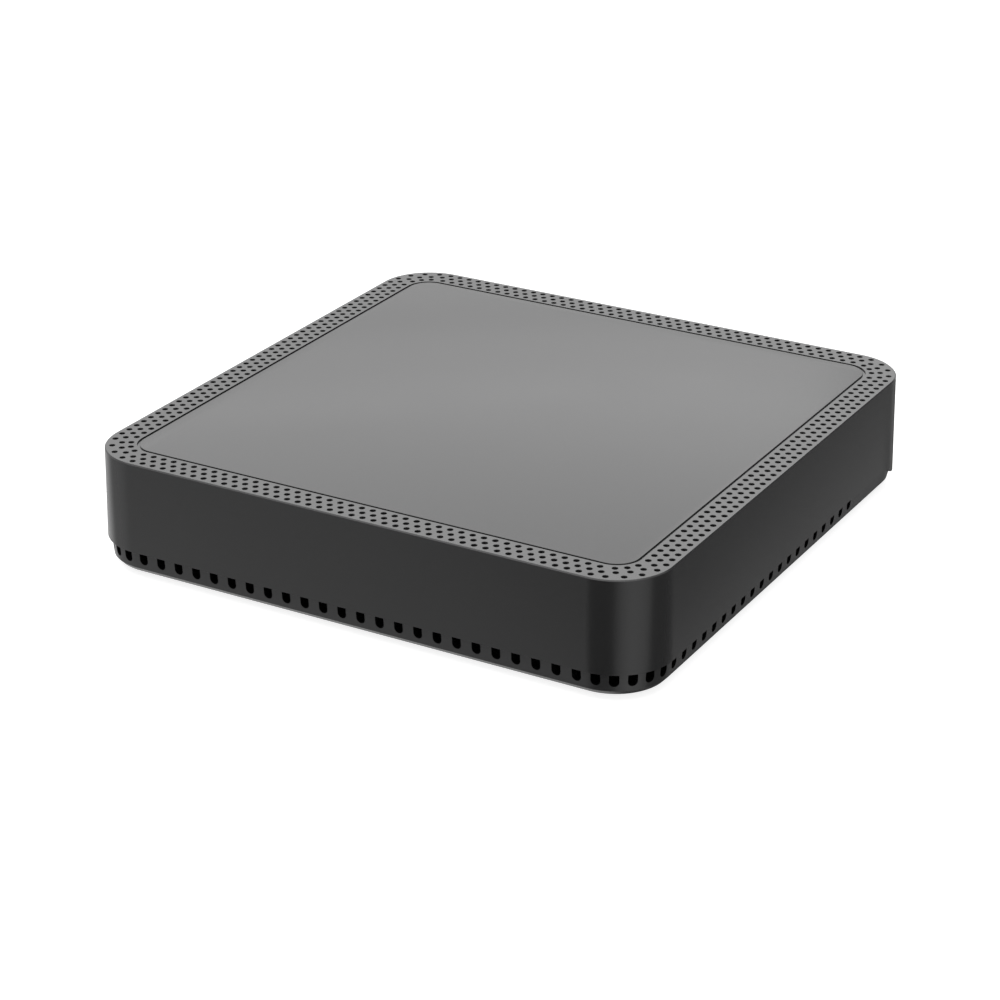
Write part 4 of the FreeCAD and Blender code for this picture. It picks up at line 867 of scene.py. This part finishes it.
def model_panel(sizes):
    face, rear = sizes.panel_face, PANEL_HIGH.y
    panel = rounded_block("panel_tray", PANEL_LOW, PANEL_HIGH, sizes.panel_corner)
    gap = 0.3 * MM
    cut_with(panel, rounded_block("recess", (-sizes.bay_half - gap, face, sizes.bay_bottom - gap),
                                  (sizes.bay_half + gap, rear + MM, sizes.bay_top + gap),
                                  sizes.bay_corner + gap, segments=8))
    back, fit, corner, rim = PANEL_LOW.y - MM, 0.1 * MM, 0.3 * MM, 0.15 * MM
    for name in ("lan_shield_1", "lan_shield_2", "power_inlet"):
        low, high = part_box(name)
        cut_with(panel, block_cutter((low.x - fit, back, low.z - fit),
                                     (high.x + fit, face, high.z + fit), corner, rim))
    for radius, name in ((sizes.pair_hole, "pair_button"), (sizes.reset_hole, "reset_button"),
                         (sizes.light_hole, "light_pipe")):
        cut_with(panel, round_cutter(radius, middle_x(name), sizes.controls, face, face - back,
                                     rim))
    at_rear = ends_at(Y, rear)
    soften(panel, lambda edge: at_rear(edge) and abs(middle_of(edge).x) < PANEL_HIGH.x - TINY
           and PANEL_LOW.z + TINY < middle_of(edge).z < PANEL_HIGH.z - TINY,
           sizes.panel_round)
    return panel


class MESHNODE_OT_panel(Operator):
    """Model the port panel, a shallow tray with cutouts for sockets and controls"""
    bl_idname = "meshnode.panel"
    bl_label = "Port panel"

    def execute(self, context):
        sizes, colours = settings_of(context)
        material = moulded_plastic("panel_black", colours.panel, 0.5, 0.35 * MM, 0.01 * MM)
        finish_piece(model_panel(sizes), material, "port_panel")
        return {"FINISHED"}


def model_button(name, radius, edge_round, dish, sizes):
    """A flanged button; its face has a rounded rim and a shallow dish."""
    low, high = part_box(name)
    middle, flange = middle_x(name), (high.x - low.x) / 2
    shoulder = low.y + sizes.flange_thickness
    button = add_rod(name + "_cap", flange, (middle, low.y, sizes.controls),
                     (middle, shoulder, sizes.controls))
    with editing(button, "faces", facing(Y)):
        inset(flange - radius)
        extrude(y=high.y - shoulder)
    soften(button, ends_at(Y, high.y), edge_round, segments=5)
    with editing(button, "faces", lambda face: face.normal.y > 0.99
                 and face.calc_center_median().y > high.y - TINY):
        # Three rings, each of them sunk by half as much as the one before
        for ring in range(3):
            inset((radius - edge_round) / 5)
            shift(y=-dish / 2 ** ring)
    return button


class MESHNODE_OT_buttons(Operator):
    """Model the pair button and the sunk reset button"""
    bl_idname = "meshnode.buttons"
    bl_label = "Buttons"

    def execute(self, context):
        sizes, colours = settings_of(context)
        material = moulded_plastic("button_grey", colours.buttons, 0.35)
        for name, radius, edge_round, dish in (
                ("pair_button", sizes.pair_radius, sizes.pair_round, 0.12 * MM),
                ("reset_button", sizes.reset_radius, sizes.reset_round, 0.05 * MM)):
            finish_piece(model_button(name, radius, edge_round, dish, sizes), material,
                         name, body=name)
        return {"FINISHED"}


class MESHNODE_OT_light(Operator):
    """Model the bent light pipe with its rounded end and its mirror face"""
    bl_idname = "meshnode.light"
    bl_label = "Status light"

    def execute(self, context):
        height = context.scene.mesh_node_sizes.controls
        radius, middle = (PIPE_HIGH.x - PIPE_LOW.x) / 2, middle_x("light_pipe")
        arm = add_rod("light_guide", radius, (middle, PIPE_LOW.y + radius, height),
                      (middle, PIPE_HIGH.y, height), sides=32)
        end_round, mirror = 0.35 * MM, 1.5 * MM
        soften(arm, ends_at(Y, PIPE_HIGH.y), end_round, segments=5)
        leg = add_block("guide_leg", PIPE_LOW, (PIPE_HIGH.x, PIPE_LOW.y + 2 * radius, PIPE_HIGH.z))
        at_front, at_top = ends_at(Y, PIPE_LOW.y), ends_at(Z, PIPE_HIGH.z)
        soften(leg, lambda edge: at_front(edge) and at_top(edge), mirror, segments=1)
        unite_with(arm, leg)
        finish_piece(arm, clear_plastic("clear_acrylic", (0.93, 0.96, 1.0)),
                     "light_pipe")
        return {"FINISHED"}


# --- sockets

def model_shield(number):
    """The drawn sheet shield round a network socket, open at the front and underneath."""
    low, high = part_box("lan_shield_" + number)
    sheet = 0.4 * MM
    at_mouth = ends_at(Y, high.y)
    shield = add_block("lan_can_" + number, low, high)
    soften(shield, lambda edge: middle_of(edge).z > low.z + TINY and not at_mouth(edge),
           0.3 * MM)
    cut_with(shield, add_block("inside", (low.x + sheet, low.y + sheet, low.z - MM),
                               (high.x - sheet, high.y + MM, high.z - sheet)))
    soften(shield, at_mouth, 0.1 * MM, segments=2)
    return shield


def model_socket(number, sizes):
    """The moulding of a network socket with the stepped opening for plug and latch."""
    low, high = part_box("lan_socket_" + number)
    middle, base = (low.x + high.x) / 2, low.z + sizes.plug_base
    back, corner, rim = high.y - sizes.plug_depth, 0.12 * MM, 0.25 * MM
    socket = add_block("lan_moulding_" + number, low, high)
    for half, bottom, top in ((sizes.plug_width / 2, base, base + sizes.plug_height),
                              (sizes.latch_width / 2, base - sizes.latch_depth, base + MM),
                              (sizes.key_width / 2, base - sizes.key_depth, base - MM)):
        cut_with(socket, block_cutter((middle - half, back, bottom), (middle + half, high.y, top),
                                      corner, rim))
    fit = Vector((1, 1, 1)) * 0.05 * MM
    for low, high in window_places(number):
        cut_with(socket, add_block("window_seat", low - fit, high + Vector((fit.x, MM, fit.z))))
    return socket


def window_places(number):
    """Low and high corners of the two small link lights over a socket's opening."""
    low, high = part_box("link_lights_" + number)
    width = 3.0 * MM
    return ((low, Vector((low.x + width, high.y, high.z))),
            (Vector((high.x - width, low.y, low.z)), high))


def model_windows(number):
    windows = [add_block("link_window", low, high) for low, high in window_places(number)]
    pair = join(windows, "link_windows_" + number)
    soften(pair, everything, 0.12 * MM, segments=2)
    return pair


def model_contacts(number):
    """The sprung contacts: a short flat run at the front, then down towards the back."""
    low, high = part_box("lan_contacts_" + number)
    count, width, thick, flat = 8, 0.45 * MM, 0.38 * MM, 0.9 * MM
    contact = add_block("lan_springs_" + number, (low.x, high.y - flat, high.z - thick),
                        (low.x + width, high.y, high.z))
    with editing(contact, "faces", facing(Y, -1)):
        run, fall = high.y - flat - low.y, high.z - thick - low.z
        for share, sink in ((0.12, 0.04), (0.76, 0.82), (0.12, 0.14)):
            extrude(y=-run * share, z=-fall * sink)
    across = running(X)
    soften(contact, lambda edge: not across(edge), 0.06 * MM, segments=2)
    return repeat(contact, count, (high.x - low.x - width) / (count - 1))


class MESHNODE_OT_sockets(Operator):
    """Model both network sockets: shield, moulding, contacts and link lights"""
    bl_idname = "meshnode.sockets"
    bl_label = "Network sockets"

    def execute(self, context):
        sizes = context.scene.mesh_node_sizes
        nickel = brushed_metal("nickelled_steel", (0.62, 0.61, 0.58), 0.3, "Z")
        black = moulded_plastic("socket_black", (0.014, 0.014, 0.015), 0.38)
        gold = brushed_metal("gilt", (0.83, 0.58, 0.24), 0.25)
        lens = clear_plastic("link_lens", (0.75, 0.85, 0.62))
        for number in ("1", "2"):
            for piece, material, slot, node in (
                    (model_shield(number), nickel, "shield_steel", "lan_shield_"),
                    (model_socket(number, sizes), black, "socket_plastic", "lan_socket_"),
                    (model_contacts(number), gold, "gilt_brass", "lan_contacts_"),
                    (model_windows(number), lens, "clear_acrylic", "link_lights_")):
                finish_piece(piece, material, node + number)
        return {"FINISHED"}


class MESHNODE_OT_inlet(Operator):
    """Model the round power inlet and its centre pin"""
    bl_idname = "meshnode.inlet"
    bl_label = "Power inlet"

    def execute(self, context):
        sizes = context.scene.mesh_node_sizes
        low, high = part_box("power_inlet")
        middle = middle_x("power_inlet")
        inlet = rounded_block("inlet_body", low, high, 0.3 * MM)
        cut_with(inlet, round_cutter(sizes.inlet_bore, middle, sizes.controls, high.y,
                                     sizes.inlet_depth, 0.35 * MM, sides=64))
        black = moulded_plastic("inlet_black", (0.016, 0.016, 0.017), 0.36)
        finish_piece(inlet, black, "power_inlet")
        low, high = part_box("inlet_pin")
        pin = add_rod("centre_pin", (high.x - low.x) / 2, (middle, low.y, sizes.controls),
                      (middle, high.y, sizes.controls), sides=32)
        soften(pin, ends_at(Y, high.y), 0.45 * MM, segments=5)
        gold = brushed_metal("pin_gilt", (0.80, 0.62, 0.34), 0.22, "Y")
        finish_piece(pin, gold, "inlet_pin")
        return {"FINISHED"}


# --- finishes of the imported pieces

class MESHNODE_OT_finishes(Operator):
    """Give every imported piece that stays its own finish"""
    bl_idname = "meshnode.finishes"
    bl_label = "Finishes"

    def execute(self, context):
        for material, names in (
                (moulded_plastic("pin_nylon", (0.02, 0.02, 0.02), 0.5),
                 "heat_sink_pins pair_plunger reset_plunger"),
                (chip_package("chip_package", (0.012, 0.012, 0.013)),
                 "processor memory_chips flash_chip radio_chip_left radio_chip_right "
                 "pair_switch reset_switch power_coils lan_transformers"),
                (brushed_metal("plug_gilt", (0.83, 0.58, 0.24), 0.25), "lead_plugs"),
                (brushed_metal("tinned_steel", (0.62, 0.62, 0.60), 0.35),
                 "radio_can_left radio_can_right clock_crystal"),
                (brushed_metal("black_zinc", (0.16, 0.16, 0.17), 0.3),
                 "cover_screws board_screws"),
                (brushed_metal("sink_aluminium", (0.72, 0.72, 0.73), 0.34, "Y"),
                 "heat_sink heat_spreader"),
                (brushed_metal("capacitor_aluminium", (0.6, 0.6, 0.62), 0.3, "Z"), "capacitors"),
                (rubber("pad_silicone", (0.16, 0.22, 0.30)),
                 "board_pads processor_pad radio_pads_left radio_pads_right"),
                (board_laminate("main_laminate", (0.01, 0.06, 0.03), (0.02, 0.11, 0.05)),
                 "main_board"),
                (board_laminate("aerial_laminate", (0.006, 0.02, 0.035), (0.01, 0.035, 0.055)),
                 "aerial_left aerial_right aerial_front_left aerial_front_right"),
                (rubber("lead_jacket", (0.015, 0.015, 0.016)), "aerial_leads"),
                (lit_lens("lamp_white", (0.9, 0.95, 1.0), 0.6), "status_lamp")):
            for name in names.split():
                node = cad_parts[name]
                node.data.materials.clear()
                node.data.materials.append(material)
        return {"FINISHED"}


# --- stage

def aim(holder, away, place, roll=0):
    """Put a lamp or a camera at a place, looking against the direction away, and link it."""
    holder.location = place
    turn = away.to_track_quat("Z", "Y") @ Quaternion((0, 0, 1), math.radians(roll))
    holder.rotation_euler = turn.to_euler()
    bpy.context.scene.collection.objects.link(holder)


def direction(azimuth, elevation):
    """A unit vector from angles in degrees; the azimuth runs from +X towards +Y."""
    azimuth, elevation = math.radians(azimuth), math.radians(elevation)
    return Vector((math.cos(azimuth) * math.cos(elevation),
                   math.sin(azimuth) * math.cos(elevation), math.sin(elevation)))


def add_lamp(name, azimuth, elevation, distance, width, height, radiance):
    """A soft box that faces the middle of the model."""
    lamp = bpy.data.lights.new(name, "AREA")
    lamp.shape = "RECTANGLE"
    lamp.size, lamp.size_y = width, height
    lamp.energy = radiance * math.pi * width * height
    holder = bpy.data.objects.new(name, lamp)
    holder.visible_camera = False
    away = direction(azimuth, elevation)
    aim(holder, away, away * distance)


class MESHNODE_OT_stage(Operator):
    """Set up the pale floor, the soft light and the camera"""
    bl_idname = "meshnode.stage"
    bl_label = "Stage"

    lamps = (
        # name, azimuth, elevation, distance, width, height, radiance
        ("overhead", 200, 84, 1.0, 1.8, 1.6, 1.15),
        ("left_low", 137.5, 37, 1.6, 2.0, 1.2, 0.62),
        ("left_high", 137.5, 46, 1.6, 2.0, 1.2, 0.8),
    )
    ambient = 0.3
    floor_grey, floor_glow = 0.55, 0.85
    # Brightness of the surroundings in gloss by azimuth, under the horizon and over it
    below = ((-180, 0.4), (-170, 0.5), (-158, 0.7), (-146, 0.73), (-134, 0.66), (-124, 0.62),
             (-118, 0.58), (-110, 0.08), (-68, 0.08), (-60, 0.44), (-50, 0.72), (-36, 0.93),
             (-26, 0.93), (-8, 0.77), (1, 0.6), (8, 0.13), (45, 0.12), (64, 0.16), (71, 0.3),
             (82, 0.33), (92, 0.2), (102, 0.06), (110, 0.12), (120, 0.8), (170, 0.8), (180, 0.4))
    above = ((46, 1.0), (50, 0.13), (74, 0.13), (78, 1.0))
    # Heights in a unit sphere round the model: the horizon, and the screens' upper end
    horizon, screen_end = (-0.02, 0.02), (0.53, 0.57)
    # The camera's lens, where it stands from its target by angles and distance, and its roll
    lens, azimuth, elevation, distance, roll = 100.8, -60.127, 24.493, 0.55662, -0.056
    target = Vector((7.07, -17.29, 12.4)) * MM

    def execute(self, context):
        context.scene.view_settings.view_transform = "Standard"
        self.add_floor()
        self.light_world(context.scene)
        for lamp in self.lamps:
            add_lamp(*lamp)
        self.add_camera(context.scene)
        return {"FINISHED"}

    def add_floor(self):
        bpy.ops.mesh.primitive_plane_add(size=8, location=(0, 0, 0))
        floor = named("floor")
        finish = Finish("floor_white")
        finish.set(base_color=rgba((self.floor_grey,) * 3), roughness=0.9, specular=0.0)
        seen = finish.seen("Camera", "Glossy", "Transmission")
        glow = finish.node("ShaderNodeEmission",
                           {"Color": WHITE, "Strength": seen * self.floor_glow})
        matt = Channel(finish, finish.surface.outputs[0])
        finish.feed(finish.nodes["Material Output"].inputs["Surface"],
                    finish.node("ShaderNodeAddShader", {0: matt, 1: glow}))
        floor.data.materials.append(finish.material)
        floor.visible_glossy = False

    def light_world(self, scene):
        """White for the camera and glass; gloss sees the same white with dark screens in it."""
        world = bpy.data.worlds.new("studio")
        tree = NodeTree(world)
        scene.world = world
        x, y, height = tree.axes(tree.node("ShaderNodeTexCoord", output="Generated"))
        turn = y.math("ARCTAN2", x) * (0.5 / math.pi) + 0.5
        below, above = (tree.node("ShaderNodeValToRGB", {"Fac": turn}, stops=[
            (azimuth / 360 + 0.5, (level,) * 3) for azimuth, level in stops])
            for stops in (self.below, self.above))
        raised = tree.rise(height, *self.horizon)
        clear = tree.rise(height, *self.screen_end)
        screens = below * (1 - raised) + above * raised
        gloss = screens * (1 - clear) + clear
        direct, glossy = tree.seen("Camera", "Transmission"), tree.seen("Glossy")
        background = tree.nodes["Background"].inputs
        tree.feed(background["Color"], WHITE)
        tree.feed(background["Strength"],
                  direct + glossy * gloss + (1 - direct - glossy) * self.ambient)

    def add_camera(self, scene):
        camera = bpy.data.cameras.new("camera")
        camera.sensor_width, camera.lens = 36, self.lens
        scene.camera = bpy.data.objects.new("camera", camera)
        away = direction(self.azimuth, self.elevation)
        aim(scene.camera, away, self.target + away * self.distance, self.roll)


# --- panel and registration

OPERATORS = (MESHNODE_OT_cover, MESHNODE_OT_plate, MESHNODE_OT_base, MESHNODE_OT_feet,
             MESHNODE_OT_panel, MESHNODE_OT_buttons, MESHNODE_OT_light, MESHNODE_OT_sockets,
             MESHNODE_OT_inlet, MESHNODE_OT_finishes, MESHNODE_OT_stage)


class MESHNODE_PT_pieces(bpy.types.Panel):
    """Lists the sizes, colours and pieces of the mesh node"""
    bl_idname = "MESHNODE_PT_pieces"
    bl_label = "Mesh wifi node"
    bl_space_type = "VIEW_3D"
    bl_region_type = "UI"
    bl_category = "Mesh Node"

    def draw(self, context):
        for group in (context.scene.mesh_node_sizes, context.scene.mesh_node_colours):
            column = self.layout.column()
            for name in group.bl_rna.properties.keys():
                if name not in ("rna_type", "name"):
                    column.prop(group, name)
        for operator in OPERATORS:
            self.layout.operator(operator.bl_idname)


CLASSES = (MeshNodeSizes, MeshNodeColours, *OPERATORS, MESHNODE_PT_pieces)


def register():
    for item in CLASSES:
        bpy.utils.register_class(item)
    bpy.types.Scene.mesh_node_sizes = PointerProperty(type=MeshNodeSizes)
    bpy.types.Scene.mesh_node_colours = PointerProperty(type=MeshNodeColours)


def unregister():
    del bpy.types.Scene.mesh_node_colours
    del bpy.types.Scene.mesh_node_sizes
    for item in reversed(CLASSES):
        bpy.utils.unregister_class(item)


def main():
    register()
    for operator in OPERATORS:
        getattr(bpy.ops.meshnode, operator.bl_idname.split(".")[1])()


if __name__ == "__main__":
    main()
